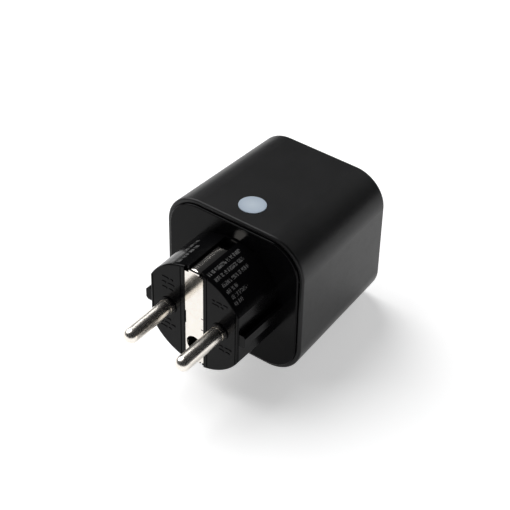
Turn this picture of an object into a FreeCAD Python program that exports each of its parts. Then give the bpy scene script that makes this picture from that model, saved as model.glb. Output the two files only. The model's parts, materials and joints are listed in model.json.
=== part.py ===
"""A plug-in smart switch for round two-pin earthed sockets, modelled as an assembly, in millimetres.

The origin is midway between the two plug pins, on the face they stand out of. +Y runs into the body,
towards the socket on the far side, +X is to the right seen from the pins, and +Z is up, to the button.
Each function below makes one sub-part, or one family of them, and PARTS at the end names them all.
"""

import FreeCAD, Part

import math
import os

V = FreeCAD.Vector
X_AXIS, Y_AXIS, Z_AXIS = V(1, 0, 0), V(0, 1, 0), V(0, 0, 1)
CUT_MARGIN = 1.0  # how far a cutting tool runs past the face that it cuts

# ---- Plug side: the standard pin pattern and the insert that enters the wall socket ----
PIN_SPACING = 19.0
PIN_DIA = 4.8
PIN_LENGTH = 19.0
INSERT_DIA = 36.5
INSERT_WIDTH = 32.4  # across the two side flats
INSERT_DEPTH = 18.4  # engagement face to the rear panel
INSERT_WALL = 1.8
INSERT_FACE = 2.6  # thickness of the plate that the pins stand out of
INSERT_EDGE = 0.6  # rounding of the engagement face's outline
GUIDE_WIDTH = 4.4  # the guide rib in the middle of each flat
GUIDE_REACH = 2.2
GUIDE_SETBACK = 0.5
GUIDE_CHAMFER = 0.7
COLLAR_DIA = 5.9  # moulded collar around each pin
COLLAR_HEIGHT = 0.4

# ---- Earth strip: one bent sheet across the insert's face and back along its top and bottom ----
STRIP_WIDTH = 6.8
STRIP_SHEET = 0.7
STRIP_SETBACK = 0.25
STRIP_GAP = 0.1  # between the strip and its slot, each side
STRIP_SHOULDER = 16.4  # half height of the wide part
STRIP_CORNER = 0.4
STRIP_NOTCH = (-3.4, 1.4)  # heights between which the left edge is relieved
STRIP_NOTCH_DEPTH = 0.4
STRIP_SLITS = (1.0, -3.3)  # heights of the slits in the right edge, which free a barb between them
STRIP_SLIT = 0.3
STRIP_SLIT_DEPTH = 0.9
FACE_GROOVE = 0.35  # the fine grooves moulded down the face
FACE_GROOVE_DEPTH = 0.2
FACE_GROOVE_INSETS = (1.3, 11.7)  # how far they lie outside the slot's edges
ARM_WIDTH = 3.8
ARM_CREST = 17.75  # height of the arm's outside at its crest
ARM_FLAT_END = 13.2  # where its flat top ends, along Y
ARM_DIP = 1.6  # how far it drops before it dives
ARM_ROOT = 3.0  # how far the arm's root reaches down the plate
ARM_END = 16.2  # where the arm dives back into the insert
CHANNEL_WIDTH = 4.5
CHANNEL_DEPTH = 3.4
CHANNEL_END = 17.8
ARM_TAIL = 10.5  # height of the arm's end, inside the insert
ARM_CROWN = 5.0  # radius of the arm's outside across its width
ARM_BEND = 0.6
ARM_SLOT_GAP = 0.2
EARTH_HOLE_DIA = 5.8
EARTH_HOLE_DROP = 10.4  # the hole's centre lies this far below the pins
EARTH_BORE_CLEARANCE = 0.2
EARTH_BORE_DEPTH = 13.0
EARTH_LEAF_SHEET = 0.4
EARTH_LEAF_RISE = 0.8  # its crest, above the bore's axis
EARTH_LEAF_WIDTH = 1.9
EARTH_LEAF_GAP = 0.2  # between the leaf and the bore's two ends
EARTH_LEAF_FOOT = 1.0  # the flat foot at each end
EARTH_LEAF_CREST = 4.2  # how deep in the bore the crest lies
EARTH_LEAF_BEND = 0.5

# ---- Housing: a tapered sleeve with round corners ----
REAR_SIZE = 50.0
FRONT_SIZE = 46.4
REAR_CORNER = 12.0
FRONT_CORNER = 10.8
HOUSING_LENGTH = 45.6
WALL = 2.4
FRONT_PLATE = 2.4
FRONT_EDGE = 0.9
REAR_EDGE = 0.6
POST_DIA = 4.6
POST_OFFSET = 16.5
POST_LENGTH = 8.0

# ---- Rear cover ----
PANEL_PROUD = 0.8
PANEL_THICKNESS = 2.4
PANEL_RIM = 1.25  # width of the housing's rim around the panel, which sits in a rebate
PANEL_GAP = 0.25
PANEL_EDGE = 0.35
SKIRT_LENGTH = 5.0
SKIRT_WALL = 1.2
HOOK_WIDTH = 4.4
HOOK_PLACE = 10.3  # each side of the middle, along the top and the bottom
HOOK_LENGTH = 1.6
HOOK_REACH = 0.6
HOOK_CLEARANCE = 0.15

# ---- Socket side: the recess that takes a plug ----
WELL_DIA = 39.0
WELL_DEPTH = 17.5
CUP_WALL = 1.1
CUP_FLOOR = 2.6
CUP_GAP = 0.15
CUP_EDGE = 0.3
EAR_THICKNESS = 1.6
EAR_ROOT = 0.5  # how far an ear runs into the cup's wall
SOCKET_HOLE_DIA = 5.5
PAD_HEIGHT = 2.9  # the guide pads, from the recess wall inwards
PAD_WIDTH = 4.0
PAD_GROOVE = 5.6
PAD_SETBACK = 2.0
SPRING_WIDTH = 4.4
SPRING_SHEET = 0.6
SPRING_INSET = 0.9  # the spring's foot, from the recess wall to the middle of the sheet
SPRING_RISE = 1.9  # its crest, from the foot inwards to the sheet's inner side
SPRING_SLOT_GAP = 0.15
SPRING_LENGTH = 14.5
SPRING_LEAD = 4.5  # from its tip back to the crest's end
SPRING_CREST_START = 6.5  # the crest's other end, from the recess floor
SPRING_RISE_START = 1.5  # where it leaves its foot, from the recess floor
SPRING_BEND = 1.5

# ---- Shutter and its cover, behind the recess floor ----
SHUTTER_DIA = 26.8
SHUTTER_THICKNESS = 1.8
SHUTTER_GAP = 0.15
SHUTTER_HOLE_DIA = 6.0
SHUTTER_TURN = 36.0
SHUTTER_RAMP = 12.0
RAMP_START = 2.0
RAMP_LENGTH = 7.0
RAMP_FLOOR = 0.5
RAMP_RIM = 0.8
SPRING_ROOM = 0.5
SPRING_GROOVE = 0.4
PIVOT_DIA = 3.0
PIVOT_CLEARANCE = 0.05
SHUTTER_SPRING_DIA = 5.0
SHUTTER_SPRING_WIRE = 0.35
SHUTTER_SPRING_TURNS = 4
SHUTTER_SPRING_PITCH = 0.3  # less than the wire, so the turns touch
COVER_THICKNESS = 1.6
COVER_WALL = 1.2
COVER_CLEARANCE = 0.3
COVER_FOOT_DIA = 5.0
COVER_FOOT_OVERLAP = 0.4
COVER_PIN_HOLE_DIA = 6.4

# ---- Button ----
BUTTON_DIA = 8.4
BUTTON_FROM_REAR = 8.8
BUTTON_GAP = 0.12
BUTTON_FLANGE_DIA = 11.0
BUTTON_FLANGE = 0.8
BUTTON_STEM_DIA = 2.6
BUTTON_PROUD = 0.12
BUTTON_DROP = 0.12  # between the flange and the housing's wall
BUTTON_STEM = 0.5
BUTTON_SLACK = 0.02  # between the stem and the switch
SKIRT_NOTCH = 6.4  # half width of the gap in the skirt that the button's flange needs

# ---- Boards, and what stands on them ----
BOARD = 1.6
BOARD_GAP = 0.3  # between the board's edge and the skirt
BOARD_BEHIND_PANEL = 2.4
BOSS_OFFSET = 15.5
BOSS_DIA = 5.0
BOARD_SCREW_DIA = 2.0
BOARD_SCREW_BITE = 3.6
BOARD_SCREW_HEAD_DIA = 4.0
BOARD_SCREW_HEAD = 1.4
BOARD_SCREW_CROSS = 2.4
BUTTON_BOARD_WIDTH = 17.0
BUTTON_BOARD_LENGTH = 11.6
RAIL_GAP = 0.1
RAIL_WALL = 1.5
RAIL_LIP = 0.6
HEADER_LENGTH = 12.0
HEADER_DEPTH = 2.4
HEADER_PINS = 6
HEADER_NOTCH = 0.5
SWITCH_SIZE = 6.0
SWITCH_HEIGHT = 1.9
PLUNGER_DIA = 3.4
PLUNGER_REACH = 0.7
PLUNGER_CLEARANCE = 0.05
PLUNGER_FOOT = 0.35  # how far its foot reaches past the shaft
SWITCH_FLOOR = 0.5
SWITCH_LID = 0.3
SWITCH_ROOM = 0.5  # between the plunger's shaft and the base's wall
DOME_SHEET = 0.1
DOME_RISE = 0.25
DOME_RIM = 0.3  # how far the dome reaches past the plunger's shaft
LAMP_FROM_SWITCH = 0.5
LAMP = 1.0
LAMP_LENGTH = 1.6
LAMP_BASE = 0.3
LAMP_LENS = 0.3
LAMP_LENS_INSET = 0.1
LAMP_LENS_LENGTH = 1.0
SWITCH_TRAVEL = 0.3
HOLE_CLEARANCE = 0.15
BUSBAR_WIDTH = 4.4
BUSBAR_SHEET = 0.8

# ---- Screws, contacts and the earth path inside ----
CROSS_SLOT = 0.5
SCREW_SLACK = 0.3  # between a screw's tip and the end of its pilot hole
CUP_SCREW_DIA = 2.2
CUP_SCREW_CROSS = 2.4
CUP_SCREW_HEAD_DIA = 4.0
CUP_SCREW_HEAD = 1.4
CUP_SCREW_LENGTH = 5.0
COVER_SCREW_DIA = 1.8
COVER_SCREW_HEAD_DIA = 3.4
COVER_SCREW_HEAD = 1.2
COVER_SCREW_CROSS = 2.0
COVER_SCREW_BITE = 2.0
SPRING_POCKET = 2.6  # depth of the shutter spring's well behind its cover
SPRING_POCKET_WALL = 0.8
PIN_FLANGE_DIA = 5.6
PIN_FLANGE = 1.2
PIN_TAIL_DIA = 3.0
PIN_TAIL_PROUD = 1.0
PIN_NOSE = 0.96  # the nose's rounding, as a share of the pin's radius
PIN_GROOVE = 0.1
PIN_GROOVE_PLACE = 1.4
CONTACT_SHEET = 0.8
CONTACT_GRIP = 4.9
CONTACT_HEIGHT = 7.0
CONTACT_FRONT_GAP = 0.6
CONTACT_TIP_GAP = 0.6
CONTACT_FLARE = 0.56  # how far each leaf's mouth opens
CONTACT_FLARE_LENGTH = 1.6
CONTACT_TAB = 2.5
LINK_SHEET = 0.8
LINK_WIDTH = 4.0
LINK_HEIGHT = 4.3
LINK_LAP = 2.0  # how far the strap laps the earth strip's tail
BUSBAR_RELAY_GAP = 0.3
SHUNT_SHEET = 0.5
SHUNT_WIDTH = 2.5
SHUNT_SPAN = 3.8
SHUNT_HEIGHT = 3.2
SHUNT_BEND = 0.8
SHUNT_MIDDLE = (-15.7, 5.6)  # along X and up

# ---- Relay ----
RELAY_LENGTH = 22.0
RELAY_WIDTH = 9.4
RELAY_HEIGHT = 12.0
RELAY_MIDDLE = 9.9  # height of its middle above the pins
RELAY_WALL = 0.6
RELAY_EDGE = 0.4
RELAY_BASE = 1.2
COIL_FLANGE = 6.6
COIL_LENGTH = 9.6
COIL_START = -9.2
COIL_ROOM = 0.2  # between the yoke and the case
SPOOL_WALL = 0.5
SPOOL_END = 0.6
WINDING_DROP = 0.25  # how far the winding lies below the spool's ends
CORE_DIA = 3.0
POLE_DIA = 4.4
POLE = 0.4
YOKE = 0.9
YOKE_WIDTH = 6.0
NOSE_REACH = 0.8  # how far the yoke's nose stands past the spool
REST_LENGTH = 7.6
REST_WIDTH = 4.0
ARMATURE = 0.8
ARMATURE_GAP = 0.1
BLADE = 0.3
BLADE_WIDTH = 3.0
BLADE_RISE = 2.0  # how far the moving blade reaches past the coil's axis
BLADE_DROP = 0.4  # between the moving blade and the base
MOVING_BUTTON = 1.3
FIXED_BLADE = 0.5
FIXED_BUTTON = 0.4
RELAY_CONTACT_DIA = 1.8
RELAY_CONTACT_GAP = 0.75

# ---- Parts on the main board; each place is (along X, up) ----
WIRE_DIA = 0.7
CAN_EDGE = 0.4
CAN_GROOVE = 0.25
CAN_GROOVE_PLACE = 1.0
CAN_GROOVE_WIDTH = 0.6
BULK_CAN = (8.0, 12.0)  # diameter and height
BULK_CAN_PLACE = (3.6, -14.0)
OUTPUT_CAN = (5.0, 9.0)
OUTPUT_CAN_PLACE = (11.0, -16.6)
TRANSFORMER_X = (-13.2, -1.2)
TRANSFORMER_Z = (-18.0, -7.0)
TRANSFORMER_HEIGHT = 11.5
TRANSFORMER_FOOT = 1.2
TRANSFORMER_YOKE = 2.2
FILM_WIDTH = 11.6
FILM_LENGTH = 12.6
FILM_HEIGHT = 8.5
FILM_EDGE = 0.5
FILM_GAP = 0.4  # from the board and from the earth link
FILM_WIRE_DIA = 0.8
FILM_WIRE_X = 4.5
VARISTOR_DIA = 7.2
VARISTOR_THICKNESS = 2.8
VARISTOR_EDGE = 0.9
VARISTOR_LIFT = 2.5
VARISTOR_WIRES = 2.0  # each wire's distance from the middle
VARISTOR_PLACE = (5.2, 8.6)
RESISTOR_DIA = 3.4
RESISTOR_LENGTH = 8.0
RESISTOR_LIFT = 1.5
RESISTOR_PLACE = (-7.2, 8.4)
CHIP_WIDTH = 4.0
CHIP_HEIGHT = 1.3
CHIP_PITCH = 1.27
CHIP_LIFT = 0.1
CHIP_LEG = 0.9
CHIP_LEG_WIDTH = 0.4
RECTIFIER_HEIGHT = 1.4
RECTIFIER_PLACE = (0.0, -10.6)
METERING_PLACE = (9.6, -8.6)
REGULATOR_PLACE = (-9.6, -8.6)
INDUCTOR_DIA = 5.6
INDUCTOR_HEIGHT = 7.0
INDUCTOR_RIM = 1.0
INDUCTOR_WAIST = 0.4
INDUCTOR_PLACE = (15.6, -10.0)
MODULE_X = 16.6
MODULE_Z = (-6.0, 9.5)
MODULE_BOARD = 0.8
MODULE_LENGTH = 15.0
SHIELD_HEIGHT = 2.2
SHIELD_INSET = 1.0
SHIELD_LENGTH = 9.0
SHIELD_SHEET = 0.2
SHIELD_EDGE = 0.5


# ---- The housing's taper ----
def housing_half(y, inset=0.0):
    """Half the housing's width at a place along Y, less an inset."""
    share = (y - HOUSING_REAR) / HOUSING_LENGTH
    return (REAR_SIZE + (FRONT_SIZE - REAR_SIZE) * share) / 2 - inset


def housing_corner(y, inset=0.0):
    """The radius of the housing's corners at a place along Y, less an inset."""
    share = (y - HOUSING_REAR) / HOUSING_LENGTH
    return REAR_CORNER + (FRONT_CORNER - REAR_CORNER) * share - inset


# ---- Places that follow from the sizes above ----
PIN_X = PIN_SPACING / 2
INSERT_R = INSERT_DIA / 2
PANEL_FACE = INSERT_DEPTH
HOUSING_REAR = PANEL_FACE + PANEL_PROUD
HOUSING_FRONT = HOUSING_REAR + HOUSING_LENGTH
PANEL_BACK = PANEL_FACE + PANEL_THICKNESS
CAVITY_FRONT = HOUSING_FRONT - FRONT_PLATE
WELL_FLOOR = HOUSING_FRONT - WELL_DEPTH
CUP_BACK = WELL_FLOOR - CUP_FLOOR
PAD_REACH = WELL_DIA / 2 - PAD_HEIGHT
SPRING_FOOT = WELL_DIA / 2 - SPRING_INSET
SPRING_CREST = SPRING_FOOT - SPRING_RISE
SHUTTER_FRONT = CUP_BACK - SHUTTER_GAP
SHUTTER_BACK = SHUTTER_FRONT - SHUTTER_THICKNESS
COVER_FRONT = SHUTTER_BACK - SHUTTER_GAP
COVER_R = SHUTTER_DIA / 2 + COVER_CLEARANCE + COVER_WALL
COVER_FOOT_OFFSET = (COVER_R + COVER_FOOT_DIA / 2 - COVER_FOOT_OVERLAP) * math.sqrt(0.5)
COVER_BACK = COVER_FRONT - COVER_THICKNESS
BOARD_REAR = PANEL_BACK + BOARD_BEHIND_PANEL
BOARD_FRONT = BOARD_REAR + BOARD
BUTTON_Y = HOUSING_REAR + BUTTON_FROM_REAR
POST_END = CAVITY_FRONT - POST_LENGTH
STRIP_FRONT = STRIP_SETBACK
STRIP_BACK = STRIP_FRONT + STRIP_SHEET
SLOT_WIDTH = STRIP_WIDTH + 2 * STRIP_GAP
SKIRT_END = PANEL_BACK + SKIRT_LENGTH
BOARD_INSET = WALL + PANEL_GAP + SKIRT_WALL + BOARD_GAP
FLANGE_TOP = housing_half(BUTTON_Y + BUTTON_FLANGE_DIA / 2, WALL) - BUTTON_DROP
FLANGE_LOW = FLANGE_TOP - BUTTON_FLANGE
PLUNGER_TOP = FLANGE_LOW - BUTTON_STEM - BUTTON_SLACK
SWITCH_TOP = PLUNGER_TOP - PLUNGER_REACH
BUTTON_BOARD_TOP = SWITCH_TOP - SWITCH_HEIGHT
BUTTON_BOARD_LOW = BUTTON_BOARD_TOP - BOARD
BUTTON_BOARD_REAR = BOARD_FRONT + 0.2
BUTTON_BOARD_FRONT = BUTTON_BOARD_REAR + BUTTON_BOARD_LENGTH
CLIP_PLANE = COVER_BACK - SPRING_POCKET - SPRING_SHEET
CONTACT_BACK = WELL_FLOOR - PIN_LENGTH - CONTACT_TIP_GAP


# ---------------------------------------------------------------- shapes
def block(x, y, z):
    """A box from three (low, high) pairs."""
    return Part.makeBox(x[1] - x[0], y[1] - y[0], z[1] - z[0], V(x[0], y[0], z[0]))


def rod(radius, y, x=0.0, z=0.0):
    """A cylinder along Y between the two values of y."""
    return Part.makeCylinder(radius, y[1] - y[0], V(x, y[0], z), Y_AXIS)


def post(radius, z, x=0.0, y=0.0):
    """A cylinder along Z between the two values of z."""
    return Part.makeCylinder(radius, z[1] - z[0], V(x, y, z[0]), Z_AXIS)


def ring(outer, inner, y, x=0.0, z=0.0):
    """A tube along Y."""
    return rod(outer, y, x, z).cut(rod(inner, (y[0] - CUT_MARGIN, y[1] + CUT_MARGIN), x, z))


def fuse(shapes):
    """One shape from several that touch, with its seams cleaned away."""
    whole = shapes[0]
    if len(shapes) > 1:
        whole = whole.multiFuse(shapes[1:])
    return whole.removeSplitter()


def turned(shape, degrees, centre=V(0, 0, 0), axis=Y_AXIS):
    copy = shape.copy()
    copy.rotate(centre, axis, degrees)
    return copy


def moved(shape, x=0.0, y=0.0, z=0.0):
    copy = shape.copy()
    copy.translate(V(x, y, z))
    return copy


def mirrored(shape, normal):
    return shape.mirror(V(0, 0, 0), normal)


def round_square(half, radius, y):
    """The edges of a square across Y with arcs for corners: arc, side, arc, side and so on."""
    flat = half - radius
    corner = radius * math.sqrt(0.5)
    edges = []
    for quarter in range(4):
        turn = FreeCAD.Rotation(Y_AXIS, -90 * quarter)
        points = [V(flat, y, half), V(flat + corner, y, flat + corner), V(half, y, flat), V(half, y, -flat)]
        start, middle, end, far = [turn.multVec(p) for p in points]
        edges.append(Part.Arc(start, middle, end).toShape())
        edges.append(Part.LineSegment(end, far).toShape())
    return edges


def sleeve(y, inset):
    """The solid inside the housing's outline between two places along Y, taken in by an inset."""
    rear, front = [round_square(housing_half(at, inset), housing_corner(at, inset), at) for at in y]
    faces = [Part.Face(Part.Wire(Part.__sortEdges__(edges))) for edges in (rear, front)]
    for near, far in zip(rear, front):
        if isinstance(near.Curve, Part.Line):
            a, b = [v.Point for v in near.Vertexes]
            c, d = [v.Point for v in far.Vertexes]
            faces.append(Part.Face(Part.makePolygon([a, b, d, c, a])))
        else:
            faces.append(Part.makeRuledSurface(near, far))
    middle = V(0, sum(y) / 2, 0)
    for face in faces:
        low_u, high_u, low_v, high_v = face.ParameterRange
        normal = face.normalAt((low_u + high_u) / 2, (low_v + high_v) / 2)
        if normal.dot(face.CenterOfMass - middle) < 0:
            face.reverse()
    return Part.makeSolid(Part.makeShell(faces))


def sheet_path(points, sheet, width, radius):
    """A strip of sheet metal: points (y, z) along its middle, bent at each with an arc, width along X."""
    corners = [V(0, y, z) for y, z in points]
    edges = []
    at = corners[0]
    for before, corner, after in zip(corners, corners[1:], corners[2:]):
        back = (before - corner).normalize()
        on = (after - corner).normalize()
        half_angle = back.getAngle(on) / 2
        reach = radius / math.tan(half_angle)
        start, end = corner + back * reach, corner + on * reach
        centre = corner + (back + on).normalize() * (radius / math.sin(half_angle))
        middle = centre + (corner - centre).normalize() * radius
        edges.append(Part.LineSegment(at, start).toShape())
        edges.append(Part.Arc(start, middle, end).toShape())
        at = end
    edges.append(Part.LineSegment(at, corners[-1]).toShape())
    path = Part.Wire(edges)
    first = (corners[1] - corners[0]).normalize()
    side = first.cross(X_AXIS).normalize() * (sheet / 2)
    across = X_AXIS * (width / 2)
    centre = corners[0]
    loop = [centre - across - side, centre + across - side, centre + across + side, centre - across + side]
    profile = Part.makePolygon(loop + [loop[0]])
    return path.makePipeShell([profile], True, False, 1)


def screw(head_dia, head, shank_dia, shank, recess_dia):
    """A pan-head screw along +Y, its head's underside at the origin."""
    body = rod(head_dia / 2, (-head, 0)).fuse(rod(shank_dia / 2, (0, shank)))
    long, thin = (-recess_dia / 2, recess_dia / 2), (-CROSS_SLOT / 2, CROSS_SLOT / 2)
    cross = fuse([block(long, (-head, -head / 2), thin), block(thin, (-head, -head / 2), long)])
    return body.removeSplitter().cut(cross)


# ---------------------------------------------------------------- plug side
def insert_outline(y, inset=0.0):
    """The insert: a round bar with two side flats, between two places along Y."""
    flat = INSERT_WIDTH / 2 - inset
    keep = block((-flat, flat), (y[0] - CUT_MARGIN, y[1] + CUT_MARGIN), (-INSERT_R, INSERT_R))
    return rod(INSERT_R - inset, y).common(keep)


def guide_rib(side):
    """The rib on one flat, with its leading corners chamfered."""
    root = INSERT_WIDTH / 2 - INSERT_WALL / 2
    tip = INSERT_WIDTH / 2 + GUIDE_REACH
    rib = block((root, tip), (GUIDE_SETBACK, PANEL_BACK), (-GUIDE_WIDTH / 2, GUIDE_WIDTH / 2))
    edges = [e for e in rib.Edges
             if all(abs(v.X - tip) < 1e-6 for v in e.Vertexes)
             and abs(e.Vertexes[0].Z - e.Vertexes[1].Z) < 1e-6]
    rib = rib.makeChamfer(GUIDE_CHAMFER, edges)
    return rib if side > 0 else mirrored(rib, X_AXIS)


def rear_cover():
    """The rear panel, the hollow insert and the snap skirt, moulded in one."""
    panel = sleeve((PANEL_FACE, PANEL_BACK), PANEL_RIM + PANEL_GAP)
    rim = [e for e in panel.Edges if all(abs(v.Y - PANEL_FACE) < 1e-6 for v in e.Vertexes)]
    panel = panel.makeFillet(PANEL_EDGE, rim)

    skirt = sleeve((PANEL_BACK - INSERT_WALL / 2, SKIRT_END), WALL + PANEL_GAP)
    skirt = skirt.cut(sleeve((PANEL_BACK - 2 * CUT_MARGIN, SKIRT_END + CUT_MARGIN),
                             WALL + PANEL_GAP + SKIRT_WALL))

    bar = insert_outline((0, PANEL_BACK))
    face_edges = [e for e in bar.Edges if all(abs(v.Y) < 1e-6 for v in e.Vertexes)]
    bar = bar.makeFillet(INSERT_EDGE, face_edges)
    cover = fuse([panel, skirt, bar, guide_rib(1), guide_rib(-1)] + snap_hooks())
    cover = cover.cut(insert_outline((INSERT_FACE, PANEL_BACK + CUT_MARGIN), INSERT_WALL))

    cover = cover.fuse(channel_floors() + earth_bore_wall() + pin_bushes() + board_bosses())
    notch = block((-SKIRT_NOTCH, SKIRT_NOTCH), (PANEL_BACK, SKIRT_END + CUT_MARGIN), (INSERT_R, REAR_SIZE))
    return cover.cut([earth_slots(), notch] + pin_holes()).removeSplitter()


def snap_hooks():
    """Hooks along the top and the bottom of the skirt, each with a ramp that leads it in."""
    y0 = SKIRT_END - HOOK_LENGTH
    face = housing_half(y0, WALL + PANEL_GAP)
    half = HOOK_WIDTH / 2
    hook = block((-half, half), (y0, SKIRT_END), (face - SKIRT_WALL / 2, face + HOOK_REACH))
    ramp = block((-HOOK_WIDTH, HOOK_WIDTH), (0, 2 * HOOK_LENGTH), (0, HOOK_LENGTH))
    ramp.rotate(V(0, 0, 0), X_AXIS, -math.degrees(math.atan2(HOOK_REACH, HOOK_LENGTH)))
    hook = hook.cut(moved(ramp, 0, y0, face + HOOK_REACH))
    return [turned(moved(hook, x), turn) for x in (-HOOK_PLACE, HOOK_PLACE) for turn in (0, 180)]


def board_bosses():
    """Bosses on the panel's inside that the main board is screwed to."""
    made = []
    for x, z in corner_places(BOSS_OFFSET):
        boss = rod(BOSS_DIA / 2, (PANEL_BACK - INSERT_WALL / 2, BOARD_REAR), x, z)
        made.append(boss)
    return made


def channel_floors():
    """The walls that line the top and bottom channels and the slot across the face, inside the insert."""
    walls = []
    half = CHANNEL_WIDTH / 2 + INSERT_WALL / 2
    floor_z = INSERT_R - CHANNEL_DEPTH - INSERT_WALL / 2
    for sign in (1, -1):
        z = sorted((sign * floor_z, sign * (INSERT_R - INSERT_WALL / 2)))
        wall = block((-half, half), (INSERT_FACE - INSERT_WALL / 2, PANEL_BACK), z)
        walls.append(wall.common(rod(INSERT_R - INSERT_WALL / 2, (0, PANEL_BACK))))
    return walls


def earth_bore_wall():
    """The blind tube behind the earth hole."""
    radius = EARTH_HOLE_DIA / 2 + EARTH_BORE_CLEARANCE + INSERT_WALL / 2
    end = STRIP_BACK + EARTH_BORE_DEPTH + INSERT_WALL / 2
    tube = rod(radius, (INSERT_FACE - INSERT_WALL / 2, end), 0, -EARTH_HOLE_DROP)
    return [tube.common(rod(INSERT_R - INSERT_WALL / 2, (0, end)))]


def pin_bushes():
    """The collar in front of each pin and the bush behind it that carries the pin."""
    made = []
    for x in (-PIN_X, PIN_X):
        made.append(rod(COLLAR_DIA / 2, (-COLLAR_HEIGHT, INSERT_FACE / 2), x))
        made.append(rod(COLLAR_DIA / 2, (INSERT_FACE / 2, PANEL_FACE), x))
    return made


def earth_slots():
    """Cuts for the earth strip: the face's slot and grooves, both channels, the tails' slots, the bore."""
    slot = block((-SLOT_WIDTH / 2, SLOT_WIDTH / 2), (-CUT_MARGIN, STRIP_BACK), (-INSERT_R, INSERT_R))
    cuts = [slot]
    for inset in FACE_GROOVE_INSETS:
        for side in (1, -1):
            x = side * (SLOT_WIDTH / 2 + inset)
            cuts.append(block((x - FACE_GROOVE / 2, x + FACE_GROOVE / 2), (-CUT_MARGIN, FACE_GROOVE_DEPTH),
                              (-INSERT_R, INSERT_R)))
    for sign in (1, -1):
        z = sorted((sign * (INSERT_R - CHANNEL_DEPTH), sign * (INSERT_R + CUT_MARGIN)))
        cuts.append(block((-CHANNEL_WIDTH / 2, CHANNEL_WIDTH / 2), (-CUT_MARGIN, CHANNEL_END), z))
    radius = EARTH_HOLE_DIA / 2 + EARTH_BORE_CLEARANCE
    cuts.append(rod(radius, (0, STRIP_BACK + EARTH_BORE_DEPTH), 0, -EARTH_HOLE_DROP))
    tail_half = ARM_WIDTH / 2 + ARM_SLOT_GAP
    tail_y = (ARM_END - STRIP_SHEET / 2 - ARM_SLOT_GAP, ARM_END + STRIP_SHEET / 2 + ARM_SLOT_GAP)
    cuts.append(block((-tail_half, tail_half), tail_y, (-INSERT_R, INSERT_R)))
    for x, z in corner_places(BOSS_OFFSET):
        cuts.append(rod(BOARD_SCREW_DIA / 2,
                        (BOARD_REAR - BOARD_SCREW_BITE, BOARD_REAR + CUT_MARGIN), x, z))
    leaf_half = EARTH_LEAF_WIDTH / 2 + STRIP_GAP
    low = -EARTH_HOLE_DROP - leaf_seat() - EARTH_LEAF_SHEET / 2
    cuts.append(block((-leaf_half, leaf_half), (STRIP_BACK, STRIP_BACK + EARTH_BORE_DEPTH),
                      (low, -EARTH_HOLE_DROP)))
    return fuse(cuts)


def pin_holes():
    """The bore that each pin is pressed in."""
    y = (-COLLAR_HEIGHT - CUT_MARGIN, PANEL_FACE + CUT_MARGIN)
    return [rod(PIN_DIA / 2, y, x) for x in (-PIN_X, PIN_X)]


def plug_pin(x):
    """A solid pin: round nose, straight shank through the insert, flange and solder tail."""
    radius = PIN_DIA / 2
    shank = rod(radius, (-PIN_LENGTH, PANEL_FACE), x)
    nose = [e for e in shank.Edges if all(abs(v.Y + PIN_LENGTH) < 1e-6 for v in e.Vertexes)]
    shank = shank.makeFillet(radius * PIN_NOSE, nose)
    groove_y = (-PIN_GROOVE_PLACE - 2 * PIN_GROOVE, -PIN_GROOVE_PLACE)
    shank = shank.cut(ring(radius + CUT_MARGIN, radius - PIN_GROOVE, groove_y, x))
    flange = rod(PIN_FLANGE_DIA / 2, (PANEL_FACE, PANEL_FACE + PIN_FLANGE), x)
    tail = rod(PIN_TAIL_DIA / 2, (PANEL_FACE + PIN_FLANGE, BOARD_FRONT + PIN_TAIL_PROUD), x)
    return fuse([shank, flange, tail])


def earth_strip():
    """The bent earth strip: a wide plate across the face and a sprung arm back along top and bottom."""
    half = STRIP_WIDTH / 2
    plate = block((-half, half), (STRIP_FRONT, STRIP_BACK), (-STRIP_SHOULDER, STRIP_SHOULDER))
    corners = [e for e in plate.Edges
               if abs(e.Vertexes[0].Y - e.Vertexes[1].Y) > STRIP_SHEET / 2]
    plate = plate.makeFillet(STRIP_CORNER, corners)
    through = (0, STRIP_BACK + CUT_MARGIN)
    cuts = [rod(EARTH_HOLE_DIA / 2, through, 0, -EARTH_HOLE_DROP),
            block((-half - CUT_MARGIN, STRIP_NOTCH_DEPTH - half), through, STRIP_NOTCH)]
    for z in STRIP_SLITS:
        cuts.append(block((half - STRIP_SLIT_DEPTH, half + CUT_MARGIN), through,
                          (z - STRIP_SLIT / 2, z + STRIP_SLIT / 2)))
    return fuse([plate.cut(cuts), earth_arm(1), earth_arm(-1)])


def earth_arm(side):
    """One arm, from the plate's shoulder round the edge and back along the channel."""
    middle = (STRIP_FRONT + STRIP_BACK) / 2
    top = ARM_CREST - STRIP_SHEET / 2
    low = top - ARM_DIP
    points = [(middle, STRIP_SHOULDER - ARM_ROOT), (middle, top), (ARM_FLAT_END, top),
              (ARM_END, low), (ARM_END, ARM_TAIL)]
    arm = sheet_path(points, STRIP_SHEET, ARM_WIDTH, ARM_BEND)
    arm = arm.common(rod(ARM_CROWN, (0, CHANNEL_END), 0, ARM_CREST - ARM_CROWN))
    return arm if side > 0 else mirrored(arm, Z_AXIS)


def leaf_seat():
    """How far the middle of the leaf's feet lies below the bore's axis."""
    return EARTH_HOLE_DIA / 2 + EARTH_BORE_CLEARANCE + EARTH_LEAF_SHEET / 2


def earth_leaf():
    """The spring leaf inside the blind bore, which rises under a wall socket's earth pin."""
    y0, seat = STRIP_BACK, -leaf_seat()
    near, far = y0 + EARTH_LEAF_GAP, y0 + EARTH_BORE_DEPTH - EARTH_LEAF_GAP
    points = [(near, seat), (near + EARTH_LEAF_FOOT, seat), (y0 + EARTH_LEAF_CREST, EARTH_LEAF_RISE),
              (far - EARTH_LEAF_FOOT, seat), (far, seat)]
    leaf = sheet_path(points, EARTH_LEAF_SHEET, EARTH_LEAF_WIDTH, EARTH_LEAF_BEND)
    return moved(leaf, 0, 0, -EARTH_HOLE_DROP)


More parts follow.
